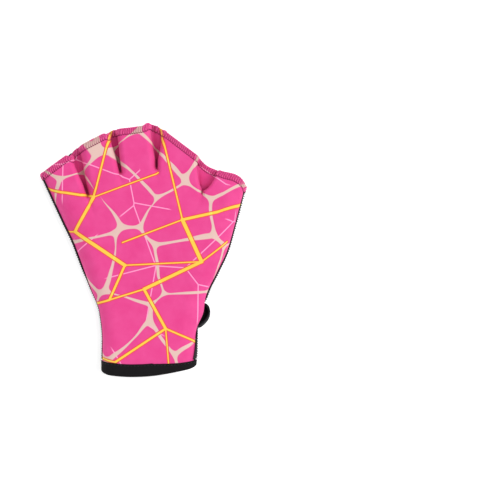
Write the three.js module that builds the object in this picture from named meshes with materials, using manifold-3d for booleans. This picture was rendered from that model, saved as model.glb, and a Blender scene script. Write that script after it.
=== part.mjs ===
// Webbed swim glove, lying palm down. Millimetres, +X towards the thumb, +Y towards the fingers, +Z up out
// of the back of the hand. Two neoprene panels make one tube, closed at the sides by overlocked seams and
// sewn together at four webs, so that the hem opens as five finger holes.
import * as THREE from "three";
import { mergeVertices } from "three/addons/utils/BufferGeometryUtils.js";
import Module from "manifold-3d";

const wasm = await Module();
wasm.setup();
const { clamp, lerp, smoothstep } = THREE.MathUtils;

// Outline of the glove as it lies, seams included.
const gloveLength = 213;
const gloveSpan = 173.5;
const wristWidth = 76;
const wristInset = 52;
const cuffSag = 8;
const hemBow = 4;

// Cloth, seams and tape.
const neoprene = 2;
const clearance = 0.3;
const hemDepth = 5.5;
const hemFold = 1.2;
const seamWidth = 1.2;
const seamHeight = 4.4;
const tape = 1.1;
const cuffBand = 9.5;

// Heights and rolls of the tube's section.
const crownHeight = 18;
const sideHeight = 11;
const wristLift = 3.8;
const rollAbove = 16;
const rollBelow = 12;
const crownDrop = 1.5;

// The webs between the finger holes.
const webHeight = 5;
const webFloor = 20;
const webReach = 41;
const webLean = 3.5;
const wallRun = 9;
const dimpleFade = 13;

// Wrist slit and fastening, on the palm side.
const slitLength = 66;
const slitInset = 25;
const slitHalfAtCuff = 7;
const slitHalfAtTop = 4.5;
const slitLeg = 3.5;
const strapWidth = 18;
const strapThickness = 1.8;
const strapFromCuff = 52;
const strapReach = 58;
const strapBulge = 2.4;
const strapSkew = 3;
const strapSlope = 0.08;
const patchLength = 30;
const patchMargin = 2;
const patchCorner = 4;
const patchThickness = 1.4;

const halfWall = neoprene / 2;
const seamOut = halfWall + clearance;
const span = gloveSpan - 2 * (seamOut + seamWidth);

// The lines from the cuff to the hem that the cloth is laid out on: the two sides and the four webs.
// wrist is a share of wristWidth, hem of the span, top of gloveLength and sag of cuffSag.
const RIBS = [
  { name: "little side", wrist: 0, hem: 0, top: 0.803, sag: 0.62 },
  { name: "little web", wrist: 0.19, hem: 0.162, top: 0.897, sag: 0.2 },
  { name: "ring web", wrist: 0.38, hem: 0.324, top: 0.97, sag: 0.05 },
  { name: "middle web", wrist: 0.58, hem: 0.574, top: 0.992, sag: 0.18 },
  { name: "thumb web", wrist: 0.78, hem: 0.823, top: 0.844, sag: 0.52 },
  { name: "thumb side", wrist: 1, hem: 1, top: 0.753, sag: 1 },
];
const LAST = RIBS.length - 1;

// How far each side has gone from its wrist place to its hem place, by share of the way from cuff to hem.
const SPREAD = [
  { along: 0, little: 0, thumb: 0 },
  { along: 0.16, little: 0, thumb: 0 },
  { along: 0.3, little: 0.05, thumb: 0.073 },
  { along: 0.42, little: 0.2, thumb: 0.22 },
  { along: 0.52, little: 0.317, thumb: 0.394 },
  { along: 0.64, little: 0.463, thumb: 0.606 },
  { along: 0.76, little: 0.645, thumb: 0.742 },
  { along: 1, little: 1, thumb: 1 },
];

// The section along the hand: crown, side and lift are shares of crownHeight, sideHeight and wristLift.
// Each seam lies above the widest point by a share of the wall's rise there, or below it if negative.
const SECTIONS = [
  { along: 0, crown: 1.04, side: 1, lift: 1, littleSeam: -0.35, thumbSeam: 0.46 },
  { along: 0.16, crown: 0.94, side: 0.86, lift: 1, littleSeam: -0.45, thumbSeam: 0.27 },
  { along: 0.26, crown: 0.92, side: 0.78, lift: 1, littleSeam: -0.45, thumbSeam: 0.06 },
  { along: 0.45, crown: 0.98, side: 0.6, lift: 1, littleSeam: -0.35, thumbSeam: 0.04 },
  { along: 0.57, crown: 1, side: 0.53, lift: 0, littleSeam: -0.15, thumbSeam: 0.04 },
  { along: 0.68, crown: 0.97, side: 0.5, lift: 0, littleSeam: 0.03, thumbSeam: 0.04 },
  { along: 0.84, crown: 0.9, side: 0.46, lift: 0, littleSeam: 0.03, thumbSeam: 0.04 },
  { along: 1, crown: 0.8, side: 0.46, lift: 0, littleSeam: 0.03, thumbSeam: 0.04 },
];

// Where the panels are sewn together: a wedge of floor, floor wide at the hem, that runs back to a point.
// floor, reach and lean are shares of webFloor, webReach and webLean, and lean tips it towards the thumb.
const WEBS = [
  { rib: 1, floor: 0.33, reach: 1, lean: 0 },
  { rib: 2, floor: 0.36, reach: 0.85, lean: 0 },
  { rib: 3, floor: 0.53, reach: 0.87, lean: 0 },
  { rib: 4, floor: 0.95, reach: 0.55, lean: 1 },
];

// How far the hem bows out past the straight line between two ribs, as a share of hemBow.
const HEM_BOWS = [0.15, 0.15, 0.3, 0.15, 1];

// How a stretch between two ribs is laid out: the share that the roll at a side takes, and a web's floor.
const ROLL_SHARE = 0.5;
const FLOOR_SHARE = 0.06;
const NARROWEST_FLOOR = 0.8;
const WIDEST_ROLL = 0.85;
const WIDEST_WALL = 0.42;
const STEP = 0.002;

// Reads one column of a table as a smooth curve that doesn't overshoot its rows.
function tableAt(rows, column, along) {
  const last = rows.length - 1;
  let i = 0;
  while (i < last - 1 && along > rows[i + 1].along) i += 1;
  const slope = (k) => (rows[k + 1][column] - rows[k][column]) / (rows[k + 1].along - rows[k].along);
  const tangent = (k) => {
    if (k === 0 || k === last) return slope(Math.min(k, last - 1));
    const product = slope(k - 1) * slope(k);
    return product > 0 ? (2 * product) / (slope(k - 1) + slope(k)) : 0;
  };
  const width = rows[i + 1].along - rows[i].along;
  const t = clamp((along - rows[i].along) / width, 0, 1);
  const held = lerp(rows[i][column], rows[i + 1][column], t * t * (3 - 2 * t));
  return held + width * t * (1 - t) * ((1 - t) * tangent(i) - t * tangent(i + 1));
}

// A rib's place in plan.
function ribPoint(rib, along) {
  const spread = lerp(tableAt(SPREAD, "little", along), tableAt(SPREAD, "thumb", along), rib.hem);
  return new THREE.Vector2(
    lerp(wristInset + wristWidth * rib.wrist, span * rib.hem, spread),
    lerp(cuffSag * rib.sag, gloveLength * rib.top, along),
  );
}

const ribLengths = RIBS.map((rib) => ribPoint(rib, 0).distanceTo(ribPoint(rib, 1)));

// The length of the cloth from cuff to hem at a place round the tube.
function lengthAt(round) {
  const across = foldedPlace(round).across;
  const k = Math.min(Math.floor(across), LAST - 1);
  return lerp(ribLengths[k], ribLengths[k + 1], across - k);
}

// A place round the tube runs from 0 at the little side over the back to LAST at the thumb side, and on
// under the palm to 2 * LAST. This turns it into a place across the back or the palm.
function foldedPlace(round) {
  const turn = 2 * LAST;
  const once = ((round % turn) + turn) % turn;
  return once <= LAST ? { across: once, above: true } : { across: turn - once, above: false };
}

// One web at a share of the way along: half its floor, how deep it is, and how far its floor leans.
function webAt(web, along) {
  const reach = web.reach * webReach;
  const pastPoint = reach - (1 - along) * ribLengths[web.rib];
  const opened = clamp(pastPoint / reach, 0, 1);
  return {
    half: Math.max(NARROWEST_FLOOR, (opened * web.floor * webFloor) / 2),
    depth: smoothstep(pastPoint, -dimpleFade, 0),
    lean: web.lean * webLean * opened,
  };
}

// How far up a web's wall has come, from 0 at its floor to 1 at the top of the channel.
const wallArch = (share) => (1 - (1 - clamp(share, 0, 1)) ** 2) ** 0.7;

// The border of a stretch: a rolled side, or half the floor of a web.
function borderOf(k, along, roll, spacing) {
  if (k === 0 || k === LAST) {
    return { share: ROLL_SHARE, width: Math.min(roll, WIDEST_ROLL * spacing), side: true };
  }
  return { share: FLOOR_SHARE, width: webAt(WEBS[k - 1], along).half, side: false };
}

// How far a point has come in from a border, and how far the wall has risen there.
function enterBorder(border, share) {
  if (!border.side) return { gone: border.width * share, rise: 1 };
  const turn = (share * Math.PI) / 2;
  return { gone: border.width * (1 - Math.cos(turn)), rise: Math.sin(turn) };
}

// Everything about one place of the cloth's middle surface: its plan point and its share of the full height.
function placeOf(round, along) {
  const { across, above } = foldedPlace(round);
  const k = Math.min(Math.floor(across), LAST - 1);
  const share = across - k;
  const from = ribPoint(RIBS[k], along);
  const to = ribPoint(RIBS[k + 1], along);
  const spacing = from.distanceTo(to);
  const roll = above ? rollAbove : rollBelow;
  const left = borderOf(k, along, roll, spacing);
  const right = borderOf(k + 1, along, roll, spacing);
  let gone;
  let rise = 1;
  if (share < left.share) {
    ({ gone, rise } = enterBorder(left, share / left.share));
  } else if (1 - share < right.share) {
    ({ gone, rise } = enterBorder(right, (1 - share) / right.share));
    gone = spacing - gone;
  } else {
    const between = (share - left.share) / (1 - left.share - right.share);
    gone = lerp(left.width, spacing - right.width, between);
  }
  const bowed = hemBow * HEM_BOWS[k] * 4 * (gone / spacing) * (1 - gone / spacing) * along ** 4;
  const plan = from.clone().lerp(to, gone / spacing);
  const out = to.clone().sub(from).normalize();
  plan.x -= out.y * bowed;
  plan.y += out.x * bowed;
  let open = 1;
  let lean = 0;
  const run = Math.min(wallRun, WIDEST_WALL * spacing);
  for (const web of WEBS.filter((row) => row.rib === k || row.rib === k + 1)) {
    const past = web.rib === k ? gone : gone - spacing;
    const { half, depth, lean: tip } = webAt(web, along);
    open *= 1 - depth * (1 - wallArch((Math.abs(past) - half) / run));
    lean += tip * clamp((half - past) / (2 * half), 0, 1);
  }
  const middle = 1 - (2 * across / LAST - 1) ** 2;
  return { plan, rise, open, lean, middle, above };
}

// The heights of the section: the widest point, the top of the back and the lowest of the palm.
function heightsAt(along, middle = 1) {
  return {
    side: sideHeight * tableAt(SECTIONS, "side", along),
    crown: crownHeight * tableAt(SECTIONS, "crown", along) - crownDrop * (1 - middle),
    low: halfWall + wristLift * tableAt(SECTIONS, "lift", along),
  };
}

// A point of the cloth's middle surface.
function wallPoint(round, along) {
  const { plan, rise, open, lean, middle, above } = placeOf(round, along);
  const { side, crown, low } = heightsAt(along, middle);
  const layer = halfWall + clearance / 2;
  const floor = above ? webHeight + layer + lean : webHeight - layer;
  const full = lerp(side, above ? crown : low, rise);
  return new THREE.Vector3(plan.x, plan.y, lerp(floor, full, open));
}

// The cloth's directions at a place: round the tube, towards the hem, and out of the hollow.
function wallAxes(round, along) {
  const around = wallPoint(round + STEP, along).sub(wallPoint(round - STEP, along));
  const next = wallPoint(round, Math.min(1, along + STEP));
  const towardsHem = next.sub(wallPoint(round, Math.max(0, along - STEP))).normalize();
  const speed = around.length() / (2 * STEP);
  around.normalize();
  return { speed, around, towardsHem, out: around.clone().cross(towardsHem).normalize() };
}

// A point of the cloth at a distance out of its middle surface. Beyond the cuff's edge it carries on straight.
function wallOffset(round, fromCuff, outwards) {
  const along = fromCuff / lengthAt(round);
  const { towardsHem, out } = wallAxes(round, Math.max(0, along));
  return wallPoint(round, Math.max(0, along))
    .addScaledVector(out, outwards)
    .addScaledVector(towardsHem, Math.min(0, fromCuff));
}

// The place round the tube of each side's seam, moved towards the back by a distance along the cloth.
function seamPlace(sideName, along, towardsBack) {
  const littleSide = sideName === "little";
  const share = tableAt(SECTIONS, littleSide ? "littleSeam" : "thumbSeam", along);
  const turned = (ROLL_SHARE * Math.asin(Math.abs(share)) * Math.sign(share)) / (Math.PI / 2);
  const seam = littleSide ? turned : LAST - turned;
  const step = towardsBack / wallAxes(seam, along).speed;
  return littleSide ? seam + step : seam - step;
}

// Evenly spaced numbers, both ends included.
const steps = (from, to, count) => Array.from({ length: count + 1 }, (_, i) => lerp(from, to, i / count));

// A closed mesh from its points and triangles, turned so that its faces point out.
function closedMesh(points, triangles) {
  const volume = triangles.reduce((sum, [a, b, c]) => {
    return sum + points[a].dot(new THREE.Vector3().crossVectors(points[b], points[c]));
  }, 0);
  const facing = volume < 0 ? triangles.map(([a, b, c]) => [a, c, b]) : triangles;
  const geometry = new THREE.BufferGeometry().setFromPoints(points);
  geometry.setIndex(facing.flat());
  return mergeVertices(geometry, 1e-4);
}

// A sheet with thickness: two grids of points, face to face, closed round their borders.
function sheetSolid(outer, inner) {
  const rows = outer.length;
  const columns = outer[0].length;
  const points = [...outer.flat(), ...inner.flat()];
  const id = (face, i, j) => (face * rows + i) * columns + j;
  const triangles = [];
  const quad = (a, b, c, d) => triangles.push([a, b, c], [a, c, d]);
  for (let i = 0; i < rows - 1; i += 1) {
    for (let j = 0; j < columns - 1; j += 1) {
      quad(id(0, i, j), id(0, i, j + 1), id(0, i + 1, j + 1), id(0, i + 1, j));
      quad(id(1, i, j), id(1, i + 1, j), id(1, i + 1, j + 1), id(1, i, j + 1));
    }
  }
  for (let j = 0; j < columns - 1; j += 1) {
    quad(id(0, 0, j), id(1, 0, j), id(1, 0, j + 1), id(0, 0, j + 1));
    quad(id(0, rows - 1, j), id(0, rows - 1, j + 1), id(1, rows - 1, j + 1), id(1, rows - 1, j));
  }
  for (let i = 0; i < rows - 1; i += 1) {
    quad(id(0, i, 0), id(0, i + 1, 0), id(1, i + 1, 0), id(1, i, 0));
    quad(id(0, i, columns - 1), id(1, i, columns - 1), id(1, i + 1, columns - 1), id(0, i + 1, columns - 1));
  }
  return closedMesh(points, triangles);
}

// A bar through rings of points, one ring for each station, with the flat section closing both ends.
function barSolid(rings, section) {
  const size = section.length;
  const points = rings.flat();
  const triangles = [];
  for (let i = 0; i < rings.length - 1; i += 1) {
    for (let j = 0; j < size; j += 1) {
      const next = (j + 1) % size;
      const [a, b, c, d] = [i * size + j, i * size + next, (i + 1) * size + next, (i + 1) * size + j];
      triangles.push([a, b, c], [a, c, d]);
    }
  }
  const end = (rings.length - 1) * size;
  for (const [a, b, c] of THREE.ShapeUtils.triangulateShape(section, [])) {
    triangles.push([a, c, b], [end + a, end + b, end + c]);
  }
  return closedMesh(points, triangles);
}

function solidOf(geometry) {
  const bare = new THREE.BufferGeometry().setAttribute("position", geometry.getAttribute("position"));
  if (geometry.index) bare.setIndex(geometry.index);
  const merged = mergeVertices(bare, 1e-4);
  const vertProperties = merged.getAttribute("position").array;
  const triVerts = new Uint32Array(merged.index.array);
  return new wasm.Manifold(new wasm.Mesh({ numProp: 3, vertProperties, triVerts }));
}

function geometryOf(solid) {
  const { vertProperties, triVerts } = solid.getMesh();
  const geometry = new THREE.BufferGeometry();
  geometry.setAttribute("position", new THREE.BufferAttribute(vertProperties, 3));
  return geometry.setIndex(new THREE.BufferAttribute(triVerts, 1));
}

// Where the rows of a panel's grid lie: shares of the way to the hem, then distances short of it.
const ROWS = [
  0, 0.045, 0.1, 0.17, 0.24, 0.3, 0.36, 0.42, 0.48, 0.54, 0.6, 0.66, 0.71, 0.75, 0.79, 0.83, 0.87, 0.9, 0.93,
];
const HEM_ROWS = [2 * hemDepth - hemFold, hemDepth + hemFold / 4, hemDepth, 0];

// Where the columns lie between two borders: finely up the walls of a channel and widely over its crown.
const BACK_STRETCH = [0, 0.06, 0.2, 0.5, 0.8, 0.94, 1];
const PALM_STRETCH = [0, 0.12, 0.5, 0.88, 1];

// The columns of one panel across its stretches, in order across the hand.
function stretchColumns(shares) {
  const places = [];
  for (let k = 0; k < LAST; k += 1) {
    const from = k + (k === 0 ? ROLL_SHARE : FLOOR_SHARE);
    const to = k + 1 - (k === LAST - 1 ? ROLL_SHARE : FLOOR_SHARE);
    places.push(...shares.map((share) => lerp(from, to, share)));
    if (k < LAST - 1) places.push(k + 1);
  }
  return places;
}

// One panel: its columns are given by the row that they are in, because its seams move along the hand.
function panelSolid(columnsAt) {
  const grid = (outwards) => {
    const row = (alongOf) => columnsAt(1).map((hemPlace, j) => {
      const along = alongOf(hemPlace);
      const round = columnsAt(along)[j];
      return wallPoint(round, along).addScaledVector(wallAxes(round, along).out, outwards(round, along));
    });
    return [
      ...ROWS.map((along) => row(() => along)),
      ...HEM_ROWS.map((short) => row((round) => 1 - short / lengthAt(round))),
    ];
  };
  const folded = (round, along) => {
    const { rise, open } = placeOf(round, along);
    const inHem = (1 - along) * lengthAt(round) <= hemDepth * 1.001;
    return inHem ? hemFold * rise * open : 0;
  };
  return sheetSolid(grid(() => halfWall), grid((round, along) => -halfWall - folded(round, along)));
}

const halfGap = clearance / 2;
const ROLL_STEPS = 5;

// The printed panel over the back of the hand, from the little side's seam to the thumb side's.
function backPanel() {
  return panelSolid((along) => [
    ...steps(seamPlace("little", along, halfGap), ROLL_SHARE, ROLL_STEPS).slice(0, -1),
    ...stretchColumns(BACK_STRETCH),
    ...steps(LAST - ROLL_SHARE, seamPlace("thumb", along, halfGap), ROLL_STEPS).slice(1),
  ]);
}

// A point of the slit's middle line, level with the palm.
function slitAxis() {
  const cuff = ribPoint(RIBS[LAST], 0);
  const side = ribPoint(RIBS[LAST], slitLength / ribLengths[LAST]);
  const start = new THREE.Vector2(cuff.x - slitInset, 0);
  return { start, end: new THREE.Vector2(side.x - slitInset, slitLength), level: heightsAt(0).low };
}

// The place under the palm that lies at a given x at the cuff.
function palmPlace(x) {
  let low = LAST + ROLL_SHARE;
  let high = 2 * LAST - ROLL_SHARE;
  for (let i = 0; i < 40; i += 1) {
    const middle = (low + high) / 2;
    if (wallPoint(middle, 0).x > x) low = middle;
    else high = middle;
  }
  return (low + high) / 2;
}

// The slit's edge in plan, grown by a distance: up its thumb side, round its top and down its little side.
// Both sides start at a distance above the cuff's edge.
function slitEdge(grown, aboveCuff) {
  const { start, end } = slitAxis();
  const way = end.clone().sub(start);
  const length = way.length();
  const up = way.normalize();
  const edge = [];
  const place = (distance, aside, turn) => {
    const point = start.clone().addScaledVector(up, distance);
    edge.push(point.add(new THREE.Vector2(aside + grown * Math.cos(turn), grown * Math.sin(turn))));
  };
  const sideSteps = (sign) => {
    const middle = start.x + up.x * (cuffSag + cuffBand);
    const cuffAt = (aside) => wallPoint(palmPlace(middle + sign * aside), 0).y;
    const cuff = Math.max(cuffAt(slitHalfAtTop), cuffAt(slitHalfAtCuff + slitLeg));
    return steps(cuff + aboveCuff, length, 6);
  };
  const halfAt = (distance) => lerp(slitHalfAtCuff, slitHalfAtTop, distance / length);
  for (const distance of sideSteps(1)) place(distance, halfAt(distance), 0);
  for (const turn of steps(0, Math.PI, 8).slice(1, -1)) {
    place(length + slitHalfAtTop * Math.sin(turn), slitHalfAtTop * Math.cos(turn), turn);
  }
  for (const distance of sideSteps(-1).reverse()) place(distance, -halfAt(distance), Math.PI);
  return edge;
}

// The black panel under the palm, with the slit cut out of it.
function palmPanel() {
  const whole = panelSolid((along) => [
    ...steps(seamPlace("thumb", along, -halfGap), LAST + ROLL_SHARE, ROLL_STEPS).slice(0, -1),
    ...stretchColumns(PALM_STRETCH).map((across) => 2 * LAST - across).reverse(),
    ...steps(2 * LAST - ROLL_SHARE, 2 * LAST + seamPlace("little", along, -halfGap), ROLL_STEPS).slice(1),
  ]);
  const { level } = slitAxis();
  const outline = new THREE.Shape(slitEdge(0, -2 * cuffBand));
  const depth = 4 * neoprene;
  const cutter = new THREE.ExtrudeGeometry(outline, { depth, bevelEnabled: false });
  cutter.translate(0, 0, level - depth / 2);
  return geometryOf(solidOf(whole).subtract(solidOf(cutter)));
}

// The overlocked thread that closes a side, outside the two panels' edges.
function sideSeam(sideName) {
  const half = seamHeight / 2;
  const chamfer = seamWidth * 0.45;
  const section = [
    [seamOut, -half],
    [seamOut + seamWidth - chamfer, -half],
    [seamOut + seamWidth, -half + chamfer],
    [seamOut + seamWidth, half - chamfer],
    [seamOut + seamWidth - chamfer, half],
    [seamOut, half],
  ].map(([out, around]) => new THREE.Vector2(out, around));
  const first = (cuffBand + clearance) / ribLengths[sideName === "little" ? 0 : LAST];
  const rings = steps(first, 1, 26).map((along) => {
    const round = seamPlace(sideName, along, 0);
    const { around, out } = wallAxes(round, along);
    const middle = wallPoint(round, along);
    return section.map((p) => middle.clone().addScaledVector(out, p.x).addScaledVector(around, p.y));
  });
  return barSolid(rings, section);
}

// The section of a folded tape over an edge, as distances in from the edge and out of the cloth's middle.
function tapeSection(leg) {
  const inside = halfWall + clearance;
  const outside = inside + tape;
  const round = outside * 0.6;
  return [
    [leg, outside],
    [leg / 2, outside],
    [0, outside],
    [-tape * 0.8, round],
    [-tape - clearance, 0],
    [-tape * 0.8, -round],
    [0, -outside],
    [leg / 2, -outside],
    [leg, -outside],
    [leg, -inside],
    [leg / 2, -inside],
    [-clearance, -inside],
    [-clearance, inside],
    [leg / 2, inside],
    [leg, inside],
  ].map(([inwards, outwards]) => new THREE.Vector2(inwards, outwards));
}

// The black band over the cuff's edge, from one side of the slit round the wrist to the other.
function cuffBinding() {
  const section = tapeSection(cuffBand);
  const { start } = slitAxis();
  const half = slitHalfAtCuff - tape;
  const thumbEnd = palmPlace(start.x + half);
  const littleEnd = palmPlace(start.x - half) - 2 * LAST;
  const stations = [
    ...steps(littleEnd, -ROLL_SHARE, 12),
    ...steps(-ROLL_SHARE, ROLL_SHARE, 10).slice(1),
    ...steps(ROLL_SHARE, LAST - ROLL_SHARE, 14).slice(1),
    ...steps(LAST - ROLL_SHARE, LAST + ROLL_SHARE, 10).slice(1),
    ...steps(LAST + ROLL_SHARE, thumbEnd, 3).slice(1),
  ];
  const rings = stations.map((round) => section.map((p) => wallOffset(round, p.x, p.y)));
  return barSolid(rings, section);
}

// The narrow tape round the slit's edge, above the cuff's band.
function slitBinding() {
  const { level } = slitAxis();
  const section = tapeSection(slitLeg);
  const edges = section.map((p) => slitEdge(p.x, cuffBand + clearance));
  const rings = edges[0].map((_, i) => {
    return section.map((p, j) => new THREE.Vector3(edges[j][i].x, edges[j][i].y, level + p.y));
  });
  return barSolid(rings, section);
}

// A point of the strap's middle surface: way runs from 0 at the seam over the fold to 1, and on to 2 at
// the tip, and wide from 0 at the cuff's side to 1.
function strapPoint(way, wide) {
  const side = RIBS[LAST];
  const y = strapFromCuff + (wide - 0.5) * strapWidth;
  const foot = ribPoint(side, 0).y;
  const along = (y - foot) / (ribPoint(side, 1).y - foot);
  const seam = seamPlace("thumb", along, 0);
  const root = wallPoint(seam, along);
  const rootX = root.x + (seamOut + seamWidth + clearance) / wallAxes(seam, along).out.x;
  const floor = strapThickness / 2;
  const turn = Math.min(way, 1) * Math.PI;
  const under = Math.max(0, way - 1);
  const tip = root.x - strapReach;
  const rounding = strapWidth * 0.3 * (2 * wide - 1) ** 4 * under ** 2;
  return new THREE.Vector3(
    lerp(rootX + strapBulge * Math.sin(turn), tip + rounding, under),
    y - strapSkew * Math.min(way, 1) - strapSlope * strapReach * under,
    lerp(floor, lerp(floor, root.z, (1 + Math.cos(turn)) / 2), way < 1 ? 1 : 0),
  );
}

// The strap, sewn to the thumb side's seam, folded under and laid across the slit.
function wristStrap() {
  const ways = [...steps(0, 1, 12), ...steps(1, 2, 9).slice(1)];
  const wides = steps(0, 1, 6);
  const grid = (outwards) => ways.map((way) => wides.map((wide) => {
    const onward = strapPoint(Math.min(2, way + STEP), wide).sub(strapPoint(Math.max(0, way - STEP), wide));
    const aside = strapPoint(way, Math.min(1, wide + STEP)).sub(strapPoint(way, Math.max(0, wide - STEP)));
    const out = onward.cross(aside).normalize();
    return strapPoint(way, wide).addScaledVector(out, outwards);
  }));
  return sheetSolid(grid(strapThickness / 2), grid(-strapThickness / 2));
}

// The pad on the palm panel that the strap's end closes on.
function loopPatch() {
  const { start, level } = slitAxis();
  const halfLength = patchLength / 2;
  const halfWide = strapWidth / 2 + patchMargin;
  const outline = new THREE.Shape();
  outline.moveTo(-halfLength + patchCorner, -halfWide);
  outline.lineTo(halfLength - patchCorner, -halfWide);
  outline.absarc(halfLength - patchCorner, -halfWide + patchCorner, patchCorner, -Math.PI / 2, 0);
  outline.absarc(halfLength - patchCorner, halfWide - patchCorner, patchCorner, 0, Math.PI / 2);
  outline.absarc(-halfLength + patchCorner, halfWide - patchCorner, patchCorner, Math.PI / 2, Math.PI);
  outline.absarc(-halfLength + patchCorner, -halfWide + patchCorner, patchCorner, Math.PI, Math.PI * 1.5);
  const depth = patchThickness;
  const pad = new THREE.ExtrudeGeometry(outline, { depth, bevelEnabled: false, curveSegments: 4 });
  const right = start.x - slitHalfAtCuff - slitLeg - patchMargin;
  const centre = right - halfLength;
  const tip = strapPoint(2, 0.5);
  const fold = strapPoint(1, 0.5);
  const y = lerp(tip.y, fold.y, (centre - tip.x) / (fold.x - tip.x));
  return pad.translate(centre, y, level - halfWall - clearance - patchThickness);
}

function cloth(name, color, roughness) {
  return new THREE.MeshStandardMaterial({ name, color, roughness, metalness: 0 });
}

const neoprenePrint = cloth("printed neoprene", 0xec4896, 0.75);
const neopreneBlack = cloth("black neoprene", 0x17161a, 0.8);
const seamThread = cloth("black seam thread", 0x121114, 0.6);
const blackTape = cloth("black binding tape", 0x1e1c1f, 0.7);
const strapCloth = cloth("black strap cloth", 0x151418, 0.85);
const loopPile = cloth("black loop pile", 0x1b1a1d, 0.95);

const pieces = [
  ["back_panel", backPanel(), neoprenePrint],
  ["palm_panel", palmPanel(), neopreneBlack],
  ["little_side_seam", sideSeam("little"), seamThread],
  ["thumb_side_seam", sideSeam("thumb"), seamThread],
  ["cuff_binding", cuffBinding(), blackTape],
  ["slit_binding", slitBinding(), blackTape],
  ["wrist_strap", wristStrap(), strapCloth],
  ["loop_patch", loopPatch(), loopPile],
];

const glove = new THREE.Group();
for (const [name, geometry, material] of pieces) {
  const mesh = new THREE.Mesh(geometry, material);
  mesh.name = name;
  glove.add(mesh);
}

// The origin is the middle of the glove's box, on the surface that it lies on.
const box = new THREE.Box3().setFromObject(glove);
const middle = box.getCenter(new THREE.Vector3());
glove.position.set(-middle.x, -middle.y, -box.min.z);

export default glove;
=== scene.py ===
"""The looks of a webbed swim glove that lies palm down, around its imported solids.

Objects are in metres: +X towards the thumb, +Y towards the fingers, +Z up. The sizes below are in
millimetres, in the pattern's own frame: x goes from the hem's corner at the little side, y from the cuff and
z from the surface that the glove lies on.
"""
import math

import bmesh
import bpy
import numpy as np
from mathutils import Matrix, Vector


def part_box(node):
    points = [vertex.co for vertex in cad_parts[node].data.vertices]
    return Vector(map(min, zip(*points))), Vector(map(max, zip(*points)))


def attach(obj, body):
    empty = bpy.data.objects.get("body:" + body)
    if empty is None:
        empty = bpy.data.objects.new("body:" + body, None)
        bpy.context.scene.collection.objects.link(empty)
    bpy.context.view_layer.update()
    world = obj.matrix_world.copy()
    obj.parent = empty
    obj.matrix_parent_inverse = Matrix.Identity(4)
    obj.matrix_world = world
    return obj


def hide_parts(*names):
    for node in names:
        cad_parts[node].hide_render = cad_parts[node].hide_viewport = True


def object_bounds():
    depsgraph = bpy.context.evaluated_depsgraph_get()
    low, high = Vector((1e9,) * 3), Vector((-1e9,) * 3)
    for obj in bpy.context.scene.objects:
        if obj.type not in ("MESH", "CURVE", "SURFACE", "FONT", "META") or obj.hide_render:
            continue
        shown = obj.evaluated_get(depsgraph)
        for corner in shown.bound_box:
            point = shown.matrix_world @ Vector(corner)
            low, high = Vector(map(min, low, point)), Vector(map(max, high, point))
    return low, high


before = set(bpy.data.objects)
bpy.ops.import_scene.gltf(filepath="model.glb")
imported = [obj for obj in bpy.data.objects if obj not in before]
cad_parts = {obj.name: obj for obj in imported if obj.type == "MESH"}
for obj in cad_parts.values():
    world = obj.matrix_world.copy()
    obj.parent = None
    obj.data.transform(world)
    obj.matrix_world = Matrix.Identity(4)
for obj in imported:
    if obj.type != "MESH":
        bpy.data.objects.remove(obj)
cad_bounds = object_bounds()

MM = 0.001

# Outline of the glove as it lies
GLOVE_LENGTH = 213
GLOVE_SPAN = 173.5
WRIST_WIDTH = 76
WRIST_INSET = 52
CUFF_SAG = 8
HEM_BOW = 4

# Cloth, seams and tape. The beads are sunk a little into the cloth, and the tape narrows by a share
NEOPRENE = 2
CLEARANCE = 0.3
HEM_DEPTH = 5.5
HEM_FOLD = 1.2
SEAM_WIDTH = 1.2
SEAM_HEIGHT = 4.4
SEAM_SHORT = 1.4
BEAD_SUNK = 0.15
TAPE = 1
TAPE_GAP = 0.1
CUFF_BAND = 9.5
TAPE_MARGIN = 1.5
BAND_NARROWED = 0.42

# Heights and rolls of the tube's section
CROWN_HEIGHT = 18
SIDE_HEIGHT = 11
WRIST_LIFT = 3.8
ROLL_ABOVE = 16
ROLL_BELOW = 12
CROWN_DROP = 1.5

# The webs between the finger holes
WEB_HEIGHT = 3.3
WEB_FLOOR = 20
WEB_REACH = 41
WEB_LEAN = 3.5
DIMPLE_FADE = 5.5

# Wrist slit and fastening, on the palm side
SLIT_LENGTH = 66
SLIT_INSET = 25
SLIT_HALF_AT_CUFF = 7
SLIT_HALF_AT_TOP = 4.5
SLIT_LEG = 3.5
STRAP_WIDTH = 18
STRAP_THICKNESS = 1.8
STRAP_FROM_CUFF = 52
STRAP_REACH = 58
STRAP_BULGE = 0.3
STRAP_SKEW = 3
STRAP_SLOPE = 0.08
STRAP_EDGE_ROUND = 0.7
STRAP_TIP_ROUND = 0.3
PAD_CORNER = 4

HALF_WALL = NEOPRENE / 2
SEAM_OUT = HALF_WALL + CLEARANCE
SPAN = GLOVE_SPAN - 2 * (SEAM_OUT + SEAM_WIDTH)


def table(columns, rows):
    """A table with named columns, each an array."""
    return dict(zip(columns.split(), np.array(rows, float).T))


# The lines from the cuff to the hem that the cloth is laid out on: the little side, four webs and the
# thumb side. wrist is a share of the wrist's width, hem of the span, top of the length and sag of the
# cuff's sag
RIBS = table("wrist hem top sag", [
    (0, 0, 0.803, 0.62),
    (0.19, 0.162, 0.897, 0.2),
    (0.5, 0.35, 0.9725, 0.05),
    (0.58, 0.574, 0.992, 0.18),
    (0.78, 0.823, 0.844, 0.52),
    (1, 1.008, 0.753, 1),
])
LAST = len(RIBS["wrist"]) - 1

# How far each side has gone from its wrist place to its hem place
SPREAD = table("along little thumb", [
    (0, 0, 0),
    (0.16, 0, 0),
    (0.3, 0.05, 0.073),
    (0.42, 0.2, 0.248),
    (0.52, 0.317, 0.43),
    (0.64, 0.463, 0.635),
    (0.76, 0.645, 0.765),
    (1, 1, 1),
])

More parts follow.
